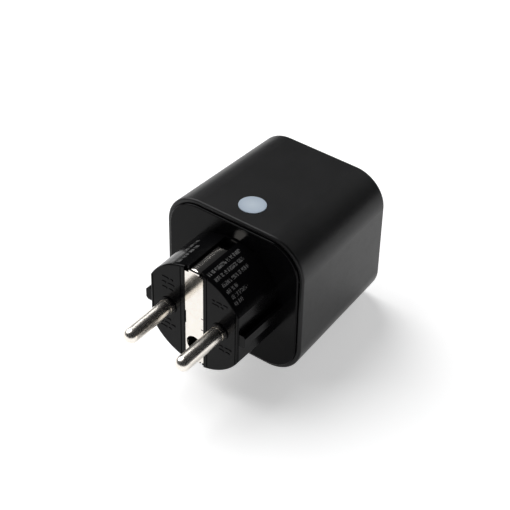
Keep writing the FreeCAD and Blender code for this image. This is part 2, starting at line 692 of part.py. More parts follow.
# ---------------------------------------------------------------- housing
def housing_shell():
    """The tapered sleeve with its front plate, button hole, snap pockets and screw posts."""
    shell = sleeve((HOUSING_REAR, HOUSING_FRONT), 0.0)
    front = [e for e in shell.Edges if all(abs(v.Y - HOUSING_FRONT) < 1e-6 for v in e.Vertexes)]
    shell = shell.makeFillet(FRONT_EDGE, front)
    rear = [e for e in shell.Edges if all(abs(v.Y - HOUSING_REAR) < 1e-6 for v in e.Vertexes)]
    shell = shell.makeFillet(REAR_EDGE, rear)
    shell = shell.cut(sleeve((HOUSING_REAR - CUT_MARGIN, CAVITY_FRONT), WALL))
    shell = shell.cut(sleeve((HOUSING_REAR - CUT_MARGIN, PANEL_BACK), PANEL_RIM))
    cup_hole = rod(WELL_DIA / 2 + CUP_WALL + CUP_GAP,
                   (CAVITY_FRONT - CUT_MARGIN, HOUSING_FRONT + CUT_MARGIN))
    shell = shell.cut(cup_hole)
    posts = []
    for x, z in corner_places(POST_OFFSET):
        post_bar = rod(POST_DIA / 2, (POST_END, CAVITY_FRONT + FRONT_PLATE / 2), x, z)
        pilot = rod(CUP_SCREW_DIA / 2, (POST_END - CUT_MARGIN, POST_END + CUP_SCREW_LENGTH), x, z)
        posts.append(post_bar.cut(cup_hole).cut(pilot))
    shell = shell.fuse(posts)
    hole = post(BUTTON_DIA / 2 + BUTTON_GAP, (0, REAR_SIZE), 0, BUTTON_Y)
    shell = shell.fuse(board_rails())
    return shell.cut([hole] + snap_pockets()).removeSplitter()


def board_rails():
    """Two rails under the top wall that the button board slides into."""
    inner = BUTTON_BOARD_WIDTH / 2 - RAIL_LIP
    outer = BUTTON_BOARD_WIDTH / 2 + RAIL_GAP
    low = BUTTON_BOARD_LOW - RAIL_LIP - RAIL_GAP
    y = (SKIRT_END + RAIL_LIP, BUTTON_BOARD_FRONT)
    rail = block((inner, outer + RAIL_WALL), y, (low, housing_half(y[0], WALL / 2)))
    groove = block((inner - CUT_MARGIN, outer), (y[0] - CUT_MARGIN, y[1] + CUT_MARGIN),
                   (BUTTON_BOARD_LOW - RAIL_GAP, BUTTON_BOARD_TOP + RAIL_GAP))
    rail = rail.cut(groove)
    return [rail, mirrored(rail, X_AXIS)]


def corner_places(offset):
    return [(x * offset, z * offset) for x in (-1, 1) for z in (-1, 1)]


def snap_pockets():
    """Pockets inside the housing's walls where the rear cover's hooks snap in."""
    y0 = PANEL_BACK + SKIRT_LENGTH - HOOK_LENGTH - HOOK_CLEARANCE
    y1 = PANEL_BACK + SKIRT_LENGTH + HOOK_CLEARANCE
    half = HOOK_WIDTH / 2 + HOOK_CLEARANCE
    top = housing_half(y0, WALL + PANEL_GAP) + HOOK_REACH + HOOK_CLEARANCE
    pocket = block((-half, half), (y0, y1), (top - WALL, top))
    return [turned(moved(pocket, x), turn) for x in (-HOOK_PLACE, HOOK_PLACE) for turn in (0, 180)]


def button_cap():
    """The translucent button: a disc flush with the sloping top, a flange under it and a stem."""
    head = post(BUTTON_DIA / 2, (FLANGE_LOW, REAR_SIZE), 0, BUTTON_Y)
    head = head.common(sleeve((HOUSING_REAR, HOUSING_FRONT), -BUTTON_PROUD))
    flange = post(BUTTON_FLANGE_DIA / 2, (FLANGE_LOW, FLANGE_TOP), 0, BUTTON_Y)
    stem = post(BUTTON_STEM_DIA / 2, (PLUNGER_TOP + BUTTON_SLACK, FLANGE_LOW), 0, BUTTON_Y)
    return fuse([head, flange, stem])


# ---------------------------------------------------------------- socket side
def socket_cup():
    """The recess for a plug: wall, floor, guide pads, ears for its screws and slots for the springs."""
    outer = WELL_DIA / 2 + CUP_WALL
    cup = rod(outer, (CUP_BACK, HOUSING_FRONT))
    rim = [e for e in cup.Edges if all(abs(v.Y - HOUSING_FRONT) < 1e-6 for v in e.Vertexes)]
    cup = cup.makeFillet(CUP_EDGE, rim)
    cup = cup.cut(rod(WELL_DIA / 2, (WELL_FLOOR, HOUSING_FRONT + CUT_MARGIN)))
    ears = []
    for x, z in corner_places(POST_OFFSET):
        ear = rod(POST_DIA / 2, (POST_END - EAR_THICKNESS, POST_END), x, z)
        reach = math.hypot(x, z)
        web = block((outer - 2 * EAR_ROOT, reach), (POST_END - EAR_THICKNESS, POST_END),
                    (-POST_DIA / 2, POST_DIA / 2))
        web = turned(web, -math.degrees(math.atan2(z, x)))
        hole = rod(CUP_SCREW_DIA / 2 + HOLE_CLEARANCE,
                   (POST_END - 2 * EAR_THICKNESS, POST_END + CUT_MARGIN), x, z)
        ears.append(ear.fuse(web).cut(rod(outer - EAR_ROOT, (CUP_BACK, HOUSING_FRONT))).cut(hole))
    pads = []
    for side in (1, -1):
        for sign in (1, -1):
            x = sorted((side * PAD_REACH, side * (WELL_DIA / 2 + CUP_WALL / 2)))
            z = sorted((sign * PAD_GROOVE / 2, sign * (PAD_GROOVE / 2 + PAD_WIDTH)))
            pad = block(x, (WELL_FLOOR - CUP_FLOOR / 2, HOUSING_FRONT - PAD_SETBACK), z)
            pads.append(pad.common(rod(WELL_DIA / 2 + CUP_WALL / 2, (CUP_BACK, HOUSING_FRONT))))
    cup = cup.fuse(ears + pads)
    cuts = []
    for x in (-PIN_X, PIN_X):
        cuts.append(rod(SOCKET_HOLE_DIA / 2, (CUP_BACK - CUT_MARGIN, WELL_FLOOR + CUT_MARGIN), x))
    for sign in (1, -1):
        cuts.append(spring_slot(sign))
    for x, z in cover_feet_places():
        cuts.append(rod(COVER_SCREW_DIA / 2, (CUP_BACK - CUT_MARGIN, CUP_BACK + COVER_SCREW_BITE), x, z))
    return cup.cut(fuse(cuts)).removeSplitter()


def spring_slot(sign):
    """The hole in the recess floor that an earth spring's foot passes through."""
    half = SPRING_WIDTH / 2 + SPRING_SLOT_GAP
    low = SPRING_FOOT - SPRING_SHEET / 2 - SPRING_SLOT_GAP
    high = SPRING_FOOT + SPRING_SHEET / 2 + SPRING_SLOT_GAP
    return block((-half, half), (CUP_BACK - CUT_MARGIN, WELL_FLOOR + CUT_MARGIN),
                 sorted((sign * low, sign * high)))


def socket_earth_clip():
    """One bent sheet: a sprung contact at the top and bottom of the recess, joined behind the shutter."""
    tip = WELL_FLOOR + SPRING_LENGTH
    crest = SPRING_CREST + SPRING_SHEET / 2
    strap = CLIP_PLANE + SPRING_SHEET / 2
    half = [(tip, SPRING_FOOT), (tip - SPRING_LEAD, crest), (WELL_FLOOR + SPRING_CREST_START, crest),
            (WELL_FLOOR + SPRING_RISE_START, SPRING_FOOT), (strap, SPRING_FOOT)]
    other = [(y, -z) for y, z in reversed(half)]
    return sheet_path(half + other, SPRING_SHEET, SPRING_WIDTH, SPRING_BEND)


def cup_screws():
    made = []
    for x, z in corner_places(POST_OFFSET):
        fastener = screw(CUP_SCREW_HEAD_DIA, CUP_SCREW_HEAD, CUP_SCREW_DIA,
                         EAR_THICKNESS + CUP_SCREW_LENGTH - SCREW_SLACK, CUP_SCREW_CROSS)
        made.append(moved(fastener, x, POST_END - EAR_THICKNESS, z))
    return Part.makeCompound(made)


# ---------------------------------------------------------------- shutter
def cover_feet_places():
    return [(x * COVER_FOOT_OFFSET, z * COVER_FOOT_OFFSET) for x in (-1, 1) for z in (-1, 1)]


def shutter():
    """The child-safety shutter: a disc that covers both holes until a plug's pins turn it by its ramps."""
    past = SHUTTER_FRONT + CUT_MARGIN
    disc = rod(SHUTTER_DIA / 2, (SHUTTER_BACK, SHUTTER_FRONT))
    cuts = [rod(PIVOT_DIA / 2 + PIVOT_CLEARANCE, (SHUTTER_BACK - CUT_MARGIN, past))]
    hole = rod(SHUTTER_HOLE_DIA / 2, (SHUTTER_BACK - CUT_MARGIN, past), PIN_X)
    ramp = block((PIN_X - SHUTTER_HOLE_DIA / 2, PIN_X + SHUTTER_HOLE_DIA / 2),
                 (0, 2 * SHUTTER_THICKNESS), (0, RAMP_LENGTH))
    ramp.rotate(V(0, 0, 0), X_AXIS, -SHUTTER_RAMP)
    ramp = moved(ramp, 0, SHUTTER_BACK + RAMP_FLOOR, RAMP_START)
    ramp = ramp.common(rod(SHUTTER_DIA / 2 - RAMP_RIM, (SHUTTER_BACK, past)))
    for half_turn in (0, 180):
        cuts += [turned(shape, SHUTTER_TURN + half_turn) for shape in (hole, ramp)]
    groove = ring(SHUTTER_SPRING_DIA / 2 + SPRING_ROOM, PIVOT_DIA / 2 + SPRING_ROOM,
                  (SHUTTER_BACK - CUT_MARGIN, SHUTTER_BACK + SPRING_GROOVE))
    return disc.cut(cuts + [groove])


def shutter_cover():
    """The cover that holds the shutter against the recess floor and carries its pivot."""
    inner = COVER_R - COVER_WALL
    well_floor = COVER_BACK - SPRING_POCKET
    plate = rod(COVER_R, (COVER_BACK, COVER_FRONT))
    wall = ring(COVER_R, inner, (COVER_BACK, CUP_BACK))
    well = rod(SHUTTER_SPRING_DIA / 2 + SPRING_ROOM + SPRING_POCKET_WALL, (well_floor, COVER_BACK))
    feet = []
    for x, z in cover_feet_places():
        foot = rod(COVER_FOOT_DIA / 2, (COVER_BACK, CUP_BACK), x, z)
        feet.append(foot.cut(rod(inner, (COVER_BACK, CUP_BACK))))
    cover = fuse([plate, wall, well] + feet)
    cuts = [rod(SHUTTER_SPRING_DIA / 2 + SPRING_ROOM,
                (well_floor + SPRING_POCKET_WALL, COVER_FRONT + CUT_MARGIN))]
    for x in (-PIN_X, PIN_X):
        cuts.append(rod(COVER_PIN_HOLE_DIA / 2, (COVER_BACK - CUT_MARGIN, COVER_FRONT + CUT_MARGIN), x))
    for x, z in cover_feet_places():
        cuts.append(rod(COVER_SCREW_DIA / 2 + HOLE_CLEARANCE,
                        (COVER_BACK - CUT_MARGIN, CUP_BACK + CUT_MARGIN), x, z))
    pivot = rod(PIVOT_DIA / 2, (well_floor + SPRING_POCKET_WALL / 2, CUP_BACK))
    return fuse([cover.cut(cuts), pivot])


def shutter_spring():
    """The torsion spring round the pivot: close turns, and a straight leg that reaches into the shutter."""
    wire = SHUTTER_SPRING_WIRE / 2
    radius = SHUTTER_SPRING_DIA / 2 - wire
    start = COVER_BACK - SPRING_POCKET + SPRING_POCKET_WALL + wire
    end = start + SHUTTER_SPRING_PITCH * (SHUTTER_SPRING_TURNS - 1)
    turns = [Part.makeTorus(radius, wire, V(0, start + SHUTTER_SPRING_PITCH * turn, 0), Y_AXIS)
             for turn in range(SHUTTER_SPRING_TURNS)]
    return fuse(turns + [rod(wire, (end, SHUTTER_BACK + SPRING_GROOVE / 2), radius)])


def cover_screws():
    made = []
    for x, z in cover_feet_places():
        fastener = screw(COVER_SCREW_HEAD_DIA, COVER_SCREW_HEAD, COVER_SCREW_DIA,
                         CUP_BACK - COVER_BACK + COVER_SCREW_BITE - SCREW_SLACK, COVER_SCREW_CROSS)
        made.append(moved(fastener, x, COVER_BACK, z))
    return Part.makeCompound(made)


# ---------------------------------------------------------------- contacts and conductors
def socket_contact(x):
    """A brass receptacle: two leaves beside the plug's pin, a web behind them and a tab for the board."""
    front = COVER_BACK - CONTACT_FRONT_GAP
    half = CONTACT_GRIP / 2
    tall = CONTACT_HEIGHT / 2
    leaves = []
    for side in (1, -1):
        leaf_x = sorted((side * half, side * (half + CONTACT_SHEET)))
        leaf = block(leaf_x, (CONTACT_BACK - CONTACT_SHEET, front), (-tall, tall))
        mouth = V(side * half, front, 0)
        flare = Part.makePolygon([mouth, mouth - Y_AXIS * CONTACT_FLARE_LENGTH,
                                  mouth + X_AXIS * side * CONTACT_FLARE, mouth])
        wedge = Part.Face(flare).extrude(V(0, 0, CONTACT_HEIGHT))
        leaves.append(leaf.cut(moved(wedge, 0, 0, -tall)))
    web = block((-half - CONTACT_SHEET, half + CONTACT_SHEET),
                (CONTACT_BACK - CONTACT_SHEET, CONTACT_BACK), (-tall, tall))
    tab = block(contact_tab_x(), (BOARD_REAR - CONTACT_SHEET, CONTACT_BACK), contact_tab_z())
    shoulder = block(contact_tab_x(), (BOARD_FRONT, CONTACT_BACK), (-CONTACT_TAB, tall))
    body = fuse(leaves + [web, tab, shoulder])
    return moved(body, x) if x > 0 else mirrored(moved(body, -x), X_AXIS)


def contact_tab_x():
    """Where a contact's tab lies along X, for a contact at the origin."""
    return (CONTACT_GRIP / 2, CONTACT_GRIP / 2 + CONTACT_SHEET)


def contact_tab_z():
    return (CONTACT_HEIGHT / 2 - CONTACT_TAB, CONTACT_HEIGHT / 2)


def earth_link():
    """The strap between the earth strip's upper arm and the socket's earth clip."""
    rear = ARM_END + STRIP_SHEET / 2 + LINK_SHEET / 2
    front = CLIP_PLANE - LINK_SHEET / 2
    points = [(rear, ARM_TAIL + LINK_LAP), (rear, LINK_HEIGHT), (front, LINK_HEIGHT), (front, -LINK_HEIGHT / 2)]
    return sheet_path(points, LINK_SHEET, LINK_WIDTH, LINK_SHEET)


def busbar(x):
    """A flat strip round a pin's tail that takes its current up to the relay."""
    half = BUSBAR_WIDTH / 2
    y = (BOARD_FRONT, BOARD_FRONT + BUSBAR_SHEET)
    strip = block((-half, half), y, (-half, RELAY_MIDDLE - RELAY_WIDTH / 2 - BUSBAR_RELAY_GAP))
    return moved(strip.cut(rod(PIN_TAIL_DIA / 2, (y[0] - CUT_MARGIN, y[1] + CUT_MARGIN))), x)


def current_shunt():
    """The metering shunt: a short bridge of resistance strip that stands on the main board."""
    x, z = SHUNT_MIDDLE
    low, high, top = -SHUNT_SPAN / 2, SHUNT_SPAN / 2, BOARD_FRONT + SHUNT_HEIGHT
    points = [(BOARD_FRONT, low), (top, low), (top, high), (BOARD_FRONT, high)]
    return moved(turned(sheet_path(points, SHUNT_SHEET, SHUNT_WIDTH, SHUNT_BEND), 90), x, 0, z)


# ---------------------------------------------------------------- boards
def main_board():
    """The board across the housing, with holes for tails, tabs, screws and the earth link."""
    board = sleeve((BOARD_REAR, BOARD_FRONT), BOARD_INSET)
    y = (BOARD_REAR - CUT_MARGIN, BOARD_FRONT + CUT_MARGIN)
    cuts = []
    for side in (-1, 1):
        cuts.append(rod(PIN_TAIL_DIA / 2 + HOLE_CLEARANCE, y, side * PIN_X))
        tab_x = sorted(side * (PIN_X + value) for value in (contact_tab_x()[0] - HOLE_CLEARANCE,
                                                           contact_tab_x()[1] + HOLE_CLEARANCE))
        tab_z = contact_tab_z()
        cuts.append(block(tab_x, y, (tab_z[0] - HOLE_CLEARANCE, tab_z[1] + HOLE_CLEARANCE)))
    for x, z in corner_places(BOSS_OFFSET):
        cuts.append(rod(BOARD_SCREW_DIA / 2 + HOLE_CLEARANCE, y, x, z))
    link_half = LINK_WIDTH / 2 + HOLE_CLEARANCE
    link_z = LINK_SHEET / 2 + HOLE_CLEARANCE
    cuts.append(block((-link_half, link_half), y, (LINK_HEIGHT - link_z, LINK_HEIGHT + link_z)))
    flange_room = FLANGE_LOW - SWITCH_TRAVEL - HOLE_CLEARANCE
    cuts.append(block((-SKIRT_NOTCH, SKIRT_NOTCH), y, (flange_room, REAR_SIZE)))
    return board.cut(cuts)


def board_screws():
    made = []
    for x, z in corner_places(BOSS_OFFSET):
        fastener = screw(BOARD_SCREW_HEAD_DIA, BOARD_SCREW_HEAD, BOARD_SCREW_DIA,
                         BOARD + BOARD_SCREW_BITE - SCREW_SLACK, BOARD_SCREW_CROSS)
        made.append(moved(turned(fastener, 180, axis=Z_AXIS), x, BOARD_FRONT, z))
    return Part.makeCompound(made)


def button_board():
    half = BUTTON_BOARD_WIDTH / 2
    return block((-half, half), (BUTTON_BOARD_REAR, BUTTON_BOARD_FRONT),
                 (BUTTON_BOARD_LOW, BUTTON_BOARD_TOP))


def board_header():
    """The pin strip that joins the button board to the main board."""
    low = RELAY_MIDDLE + RELAY_WIDTH / 2 + RAIL_GAP
    half = HEADER_LENGTH / 2
    strip = block((-half, half), (BOARD_FRONT, BOARD_FRONT + HEADER_DEPTH), (low, BUTTON_BOARD_LOW))
    notches = []
    for step in range(1, HEADER_PINS):
        x = HEADER_LENGTH * step / HEADER_PINS - half
        notches.append(block((x - HEADER_NOTCH / 2, x + HEADER_NOTCH / 2),
                             (BOARD_FRONT, BOARD_FRONT + HEADER_NOTCH), (low, BUTTON_BOARD_LOW)))
    return strip.cut(notches)


def switch_base():
    """The push switch's moulded base, a tray with a raised edge."""
    half = SWITCH_SIZE / 2
    y = (BUTTON_Y - half, BUTTON_Y + half)
    base = block((-half, half), y, (BUTTON_BOARD_TOP, SWITCH_TOP - SWITCH_LID))
    room = post(PLUNGER_DIA / 2 + SWITCH_ROOM, (BUTTON_BOARD_TOP + SWITCH_FLOOR, SWITCH_TOP), 0, BUTTON_Y)
    return base.cut(room)


def switch_frame():
    """The steel lid of the push switch."""
    half = SWITCH_SIZE / 2
    lid = block((-half, half), (BUTTON_Y - half, BUTTON_Y + half), (SWITCH_TOP - SWITCH_LID, SWITCH_TOP))
    return lid.cut(post(PLUNGER_DIA / 2 + PLUNGER_CLEARANCE, (0, REAR_SIZE), 0, BUTTON_Y))


def switch_dome():
    """The snap dome, drawn at its pressed height."""
    low = BUTTON_BOARD_TOP + SWITCH_FLOOR
    rim = PLUNGER_DIA / 2 + DOME_RIM
    radius = (rim ** 2 + DOME_RISE ** 2) / (2 * DOME_RISE)
    centre = V(0, BUTTON_Y, low + DOME_RISE - radius)
    ball = Part.makeSphere(radius, centre).cut(Part.makeSphere(radius - DOME_SHEET, centre))
    return ball.common(post(rim, (low, low + 2 * DOME_RISE), 0, BUTTON_Y))


def switch_plunger():
    """The plunger, with a foot that keeps it under the lid."""
    low = BUTTON_BOARD_TOP + SWITCH_FLOOR + DOME_RISE + SWITCH_TRAVEL + PLUNGER_CLEARANCE
    shaft = post(PLUNGER_DIA / 2, (low, PLUNGER_TOP), 0, BUTTON_Y)
    foot = post(PLUNGER_DIA / 2 + PLUNGER_FOOT, (low, SWITCH_TOP - SWITCH_LID - PLUNGER_CLEARANCE), 0, BUTTON_Y)
    return fuse([shaft, foot])


def indicator_leds():
    """Two small lamps beside the switch, under the translucent button."""
    lamps = []
    for side in (-1, 1):
        inner = SWITCH_SIZE / 2 + LAMP_FROM_SWITCH
        x = sorted((side * inner, side * (inner + LAMP)))
        top = BUTTON_BOARD_TOP + LAMP_BASE
        base = block(x, (BUTTON_Y - LAMP_LENGTH / 2, BUTTON_Y + LAMP_LENGTH / 2), (BUTTON_BOARD_TOP, top))
        lens = block((x[0] + LAMP_LENS_INSET, x[1] - LAMP_LENS_INSET),
                     (BUTTON_Y - LAMP_LENS_LENGTH / 2, BUTTON_Y + LAMP_LENS_LENGTH / 2), (top, top + LAMP_LENS))
        lamps.append(fuse([base, lens]))
    return Part.makeCompound(lamps)


# ---------------------------------------------------------------- relay
def relay_case():
    """The relay's cover, a thin box that is open towards the board."""
    half_x, half_z = RELAY_LENGTH / 2, RELAY_WIDTH / 2
    top = BOARD_FRONT + RELAY_HEIGHT
    outer = block((-half_x, half_x), (BOARD_FRONT, top), (RELAY_MIDDLE - half_z, RELAY_MIDDLE + half_z))
    outer = outer.makeFillet(RELAY_EDGE, [e for e in outer.Edges if all(v.Y > top - 1e-6 for v in e.Vertexes)])
    return outer.cut(relay_inside((BOARD_FRONT - CUT_MARGIN, top - RELAY_WALL)))


def relay_inside(y):
    half = RELAY_LENGTH / 2 - RELAY_WALL
    return block((-half, half), y, relay_depth(RELAY_WIDTH - 2 * RELAY_WALL))


def relay_depth(width):
    """The low and high of something that is centred in the relay's depth."""
    return RELAY_MIDDLE - width / 2, RELAY_MIDDLE + width / 2


def relay_rod(diameter, x, y):
    """A cylinder along X between two values of x, in the middle of the relay's depth."""
    return Part.makeCylinder(diameter / 2, x[1] - x[0], V(x[0], y, RELAY_MIDDLE), X_AXIS)


def relay_base():
    """The moulded base, with the rest that the coil stands on."""
    base = relay_inside((BOARD_FRONT, BOARD_FRONT + RELAY_BASE))
    rest = block((COIL_START, COIL_START + REST_LENGTH),
                 (BOARD_FRONT + RELAY_BASE, coil_middle() - COIL_FLANGE / 2), relay_depth(REST_WIDTH))
    return fuse([base, rest])


def coil_middle():
    """How far the coil's axis lies along Y."""
    return BOARD_FRONT + RELAY_HEIGHT - RELAY_WALL - COIL_ROOM - YOKE - COIL_FLANGE / 2


def relay_bobbin():
    """A square-ended spool along X."""
    middle, end = coil_middle(), COIL_START + COIL_LENGTH
    y = (middle - COIL_FLANGE / 2, middle + COIL_FLANGE / 2)
    ends = [block((x, x + SPOOL_END), y, relay_depth(COIL_FLANGE)) for x in (COIL_START, end - SPOOL_END)]
    tube = relay_rod(CORE_DIA + 2 * SPOOL_WALL, (COIL_START, end), middle)
    bore = relay_rod(CORE_DIA, (COIL_START - CUT_MARGIN, end + CUT_MARGIN), middle)
    return fuse(ends + [tube]).cut(bore)


def relay_winding():
    """The coil's wire, as one body between the spool's ends."""
    x = (COIL_START + SPOOL_END, COIL_START + COIL_LENGTH - SPOOL_END)
    coil = relay_rod(COIL_FLANGE - 2 * WINDING_DROP, x, coil_middle())
    return coil.cut(relay_rod(CORE_DIA + 2 * SPOOL_WALL, x, coil_middle()))


def relay_core():
    """The iron core, with a pole face at the armature's end."""
    end = COIL_START + COIL_LENGTH
    return fuse([relay_rod(CORE_DIA, (COIL_START, end), coil_middle()),
                 relay_rod(POLE_DIA, (end, end + POLE), coil_middle())])


def relay_yoke():
    """An L of iron: behind the coil, then along it to the round nose that the armature rocks on."""
    low, top = coil_middle() - COIL_FLANGE / 2, coil_middle() + COIL_FLANGE / 2
    z = relay_depth(YOKE_WIDTH)
    nose_x = hinge_edge() - YOKE / 2
    back = block((COIL_START - YOKE, COIL_START), (low, top + YOKE), z)
    leg = block((COIL_START - YOKE, nose_x), (top, top + YOKE), z)
    return fuse([back, leg, post(YOKE / 2, z, nose_x, top + YOKE / 2)])


def hinge_edge():
    """The yoke's end along X, where the armature rocks."""
    return COIL_START + COIL_LENGTH + NOSE_REACH


def blade_face():
    """The armature's outside along X, which the moving blade lies on."""
    return hinge_edge() + ARMATURE_GAP + ARMATURE


def relay_armature():
    """The plate that rocks on the yoke's nose and carries the moving contact."""
    y = (coil_middle() - COIL_FLANGE / 2, coil_middle() + COIL_FLANGE / 2 + YOKE)
    return block((blade_face() - ARMATURE, blade_face()), y, relay_depth(YOKE_WIDTH))


def relay_moving_contact():
    """The spring blade on the armature, with its contact button."""
    x, low = blade_face(), BOARD_FRONT + RELAY_BASE + BLADE_DROP
    blade = block((x, x + BLADE), (low, coil_middle() + BLADE_RISE), relay_depth(BLADE_WIDTH))
    button = relay_rod(RELAY_CONTACT_DIA, (x - MOVING_BUTTON, x), low + RELAY_CONTACT_DIA / 2)
    return fuse([blade, button])


def relay_fixed_contact():
    """The fixed blade that stands on the base, with its button facing the moving one."""
    face = blade_face() - MOVING_BUTTON - RELAY_CONTACT_GAP
    back = face - FIXED_BUTTON
    base = BOARD_FRONT + RELAY_BASE
    blade = block((back - FIXED_BLADE, back), (base, base + RELAY_CONTACT_DIA), relay_depth(BLADE_WIDTH))
    button = relay_rod(RELAY_CONTACT_DIA, (back, face), base + BLADE_DROP + RELAY_CONTACT_DIA / 2)
    return fuse([blade, button])


# ---------------------------------------------------------------- parts on the main board
def can_capacitor(diameter, height, x, z):
    """An electrolytic can that stands on the board's front, with a groove near its base."""
    can = rod(diameter / 2, (BOARD_FRONT, BOARD_FRONT + height), x, z)
    top = [e for e in can.Edges if all(v.Y > BOARD_FRONT + height - 1e-6 for v in e.Vertexes)]
    groove_y = (BOARD_FRONT + CAN_GROOVE_PLACE, BOARD_FRONT + CAN_GROOVE_PLACE + CAN_GROOVE_WIDTH)
    groove = ring(diameter, diameter / 2 - CAN_GROOVE, groove_y, x, z)
    return can.makeFillet(CAN_EDGE, top).cut(groove)


def transformer_core():
    """Two ferrite E halves: a frame round the winding, with a middle leg through it."""
    x, z = TRANSFORMER_X, TRANSFORMER_Z
    y = (BOARD_FRONT + TRANSFORMER_FOOT, BOARD_FRONT + TRANSFORMER_HEIGHT)
    yoke = TRANSFORMER_YOKE
    frame = block(x, y, (z[0] + yoke, z[1] - yoke))
    window = block((x[0] + yoke, x[1] - yoke), (y[0] + yoke, y[1] - yoke), z)
    middle = (x[0] + x[1]) / 2
    leg = block((middle - yoke / 2, middle + yoke / 2), (y[0] + yoke, y[1] - yoke),
                (z[0] + yoke, z[1] - yoke))
    return fuse([frame.cut(window), leg])


def transformer_winding():
    """The taped winding and its foot, which fill the core's window."""
    x, z = TRANSFORMER_X, TRANSFORMER_Z
    y = (BOARD_FRONT + TRANSFORMER_FOOT, BOARD_FRONT + TRANSFORMER_HEIGHT)
    yoke = TRANSFORMER_YOKE
    inner_x = (x[0] + yoke, x[1] - yoke)
    inner_y = (y[0] + yoke, y[1] - yoke)
    winding = block(inner_x, inner_y, z)
    foot = block(x, (BOARD_FRONT, y[0]), z)
    sides = []
    for end in ((z[0], z[0] + yoke), (z[1] - yoke, z[1])):
        sides.append(block(inner_x, (y[0], inner_y[0]), end))
    return fuse([winding, foot] + sides).cut(transformer_core())


def suppression_capacitor():
    """The film capacitor across the supply, in the hollow of the insert."""
    half, back = FILM_WIDTH / 2, BOARD_REAR - FILM_GAP
    top = LINK_HEIGHT - LINK_SHEET / 2 - FILM_GAP
    case = block((-half, half), (back - FILM_LENGTH, back), (top - FILM_HEIGHT, top))
    edges = [e for e in case.Edges if abs(e.Vertexes[0].Y - e.Vertexes[1].Y) > FILM_LENGTH / 2]
    case = case.makeFillet(FILM_EDGE, edges)
    feet = [rod(FILM_WIRE_DIA / 2, (back, BOARD_REAR), x) for x in (-FILM_WIRE_X, FILM_WIRE_X)]
    return fuse([case] + feet)


def varistor():
    """The disc across the supply, with its two wires to the board."""
    x, z = VARISTOR_PLACE
    middle = BOARD_REAR - VARISTOR_DIA / 2 - VARISTOR_LIFT
    disc = Part.makeCylinder(VARISTOR_DIA / 2, VARISTOR_THICKNESS, V(x, middle, z), X_AXIS)
    disc = disc.makeFillet(VARISTOR_EDGE, disc.Edges)
    wires = [rod(WIRE_DIA / 2, (middle, BOARD_REAR), x + VARISTOR_THICKNESS / 2, z + side * VARISTOR_WIRES)
             for side in (-1, 1)]
    return fuse([disc] + wires)


def fuse_resistor():
    """The fusible resistor, which stands on one of its wires."""
    x, z = RESISTOR_PLACE
    end = BOARD_REAR - RESISTOR_LIFT
    body = rod(RESISTOR_DIA / 2, (end - RESISTOR_LENGTH, end), x, z)
    return fuse([body, rod(WIRE_DIA / 2, (end, BOARD_REAR), x, z)])


def chip(place, legs, body=CHIP_HEIGHT):
    """A flat package with legs along two sides, on the rear of the main board."""
    x, z = place
    half, length = CHIP_WIDTH / 2, CHIP_PITCH * legs
    y = (BOARD_REAR - CHIP_LIFT - body, BOARD_REAR - CHIP_LIFT)
    made = [block((x - half, x + half), y, (z - length / 2, z + length / 2))]
    for side in (-1, 1):
        for step in range(legs):
            leg_z = z - length / 2 + CHIP_PITCH * (step + 0.5)
            leg_x = sorted((x + side * (half - CHIP_LEG_WIDTH / 2), x + side * (half + CHIP_LEG)))
            made.append(block(leg_x, (BOARD_REAR - CHIP_LEG_WIDTH, BOARD_REAR),
                              (leg_z - CHIP_LEG_WIDTH / 2, leg_z + CHIP_LEG_WIDTH / 2)))
    return fuse(made)


def power_inductor():
    """A drum core with a winding, standing on the board."""
    x, z = INDUCTOR_PLACE
    low, high = BOARD_FRONT, BOARD_FRONT + INDUCTOR_HEIGHT
    drum = [rod(INDUCTOR_DIA / 2, (low, low + INDUCTOR_RIM), x, z),
            rod(INDUCTOR_DIA / 2 - INDUCTOR_WAIST, (low + INDUCTOR_RIM, high - INDUCTOR_RIM), x, z),
            rod(INDUCTOR_DIA / 2, (high - INDUCTOR_RIM, high), x, z)]
    return fuse(drum)


def wireless_module():
    """The radio's own little board, on edge against the main board."""
    return block((MODULE_X, MODULE_X + MODULE_BOARD), (BOARD_FRONT, BOARD_FRONT + MODULE_LENGTH), MODULE_Z)


def module_shield():
    """The radio's pressed shield, a shallow tin with rounded corners."""
    x = (MODULE_X - SHIELD_HEIGHT, MODULE_X)
    y = (BOARD_FRONT + SHIELD_INSET, BOARD_FRONT + SHIELD_INSET + SHIELD_LENGTH)
    z = (MODULE_Z[0] + SHIELD_INSET, MODULE_Z[1] - SHIELD_INSET)
    tin = block(x, y, z)
    tin = tin.makeFillet(SHIELD_EDGE, [e for e in tin.Edges if abs(e.Vertexes[0].X - e.Vertexes[1].X) > 1])
    inside = block((x[0] + SHIELD_SHEET, x[1] + CUT_MARGIN), (y[0] + SHIELD_SHEET, y[1] - SHIELD_SHEET),
                   (z[0] + SHIELD_SHEET, z[1] - SHIELD_SHEET))
    return tin.cut(inside)


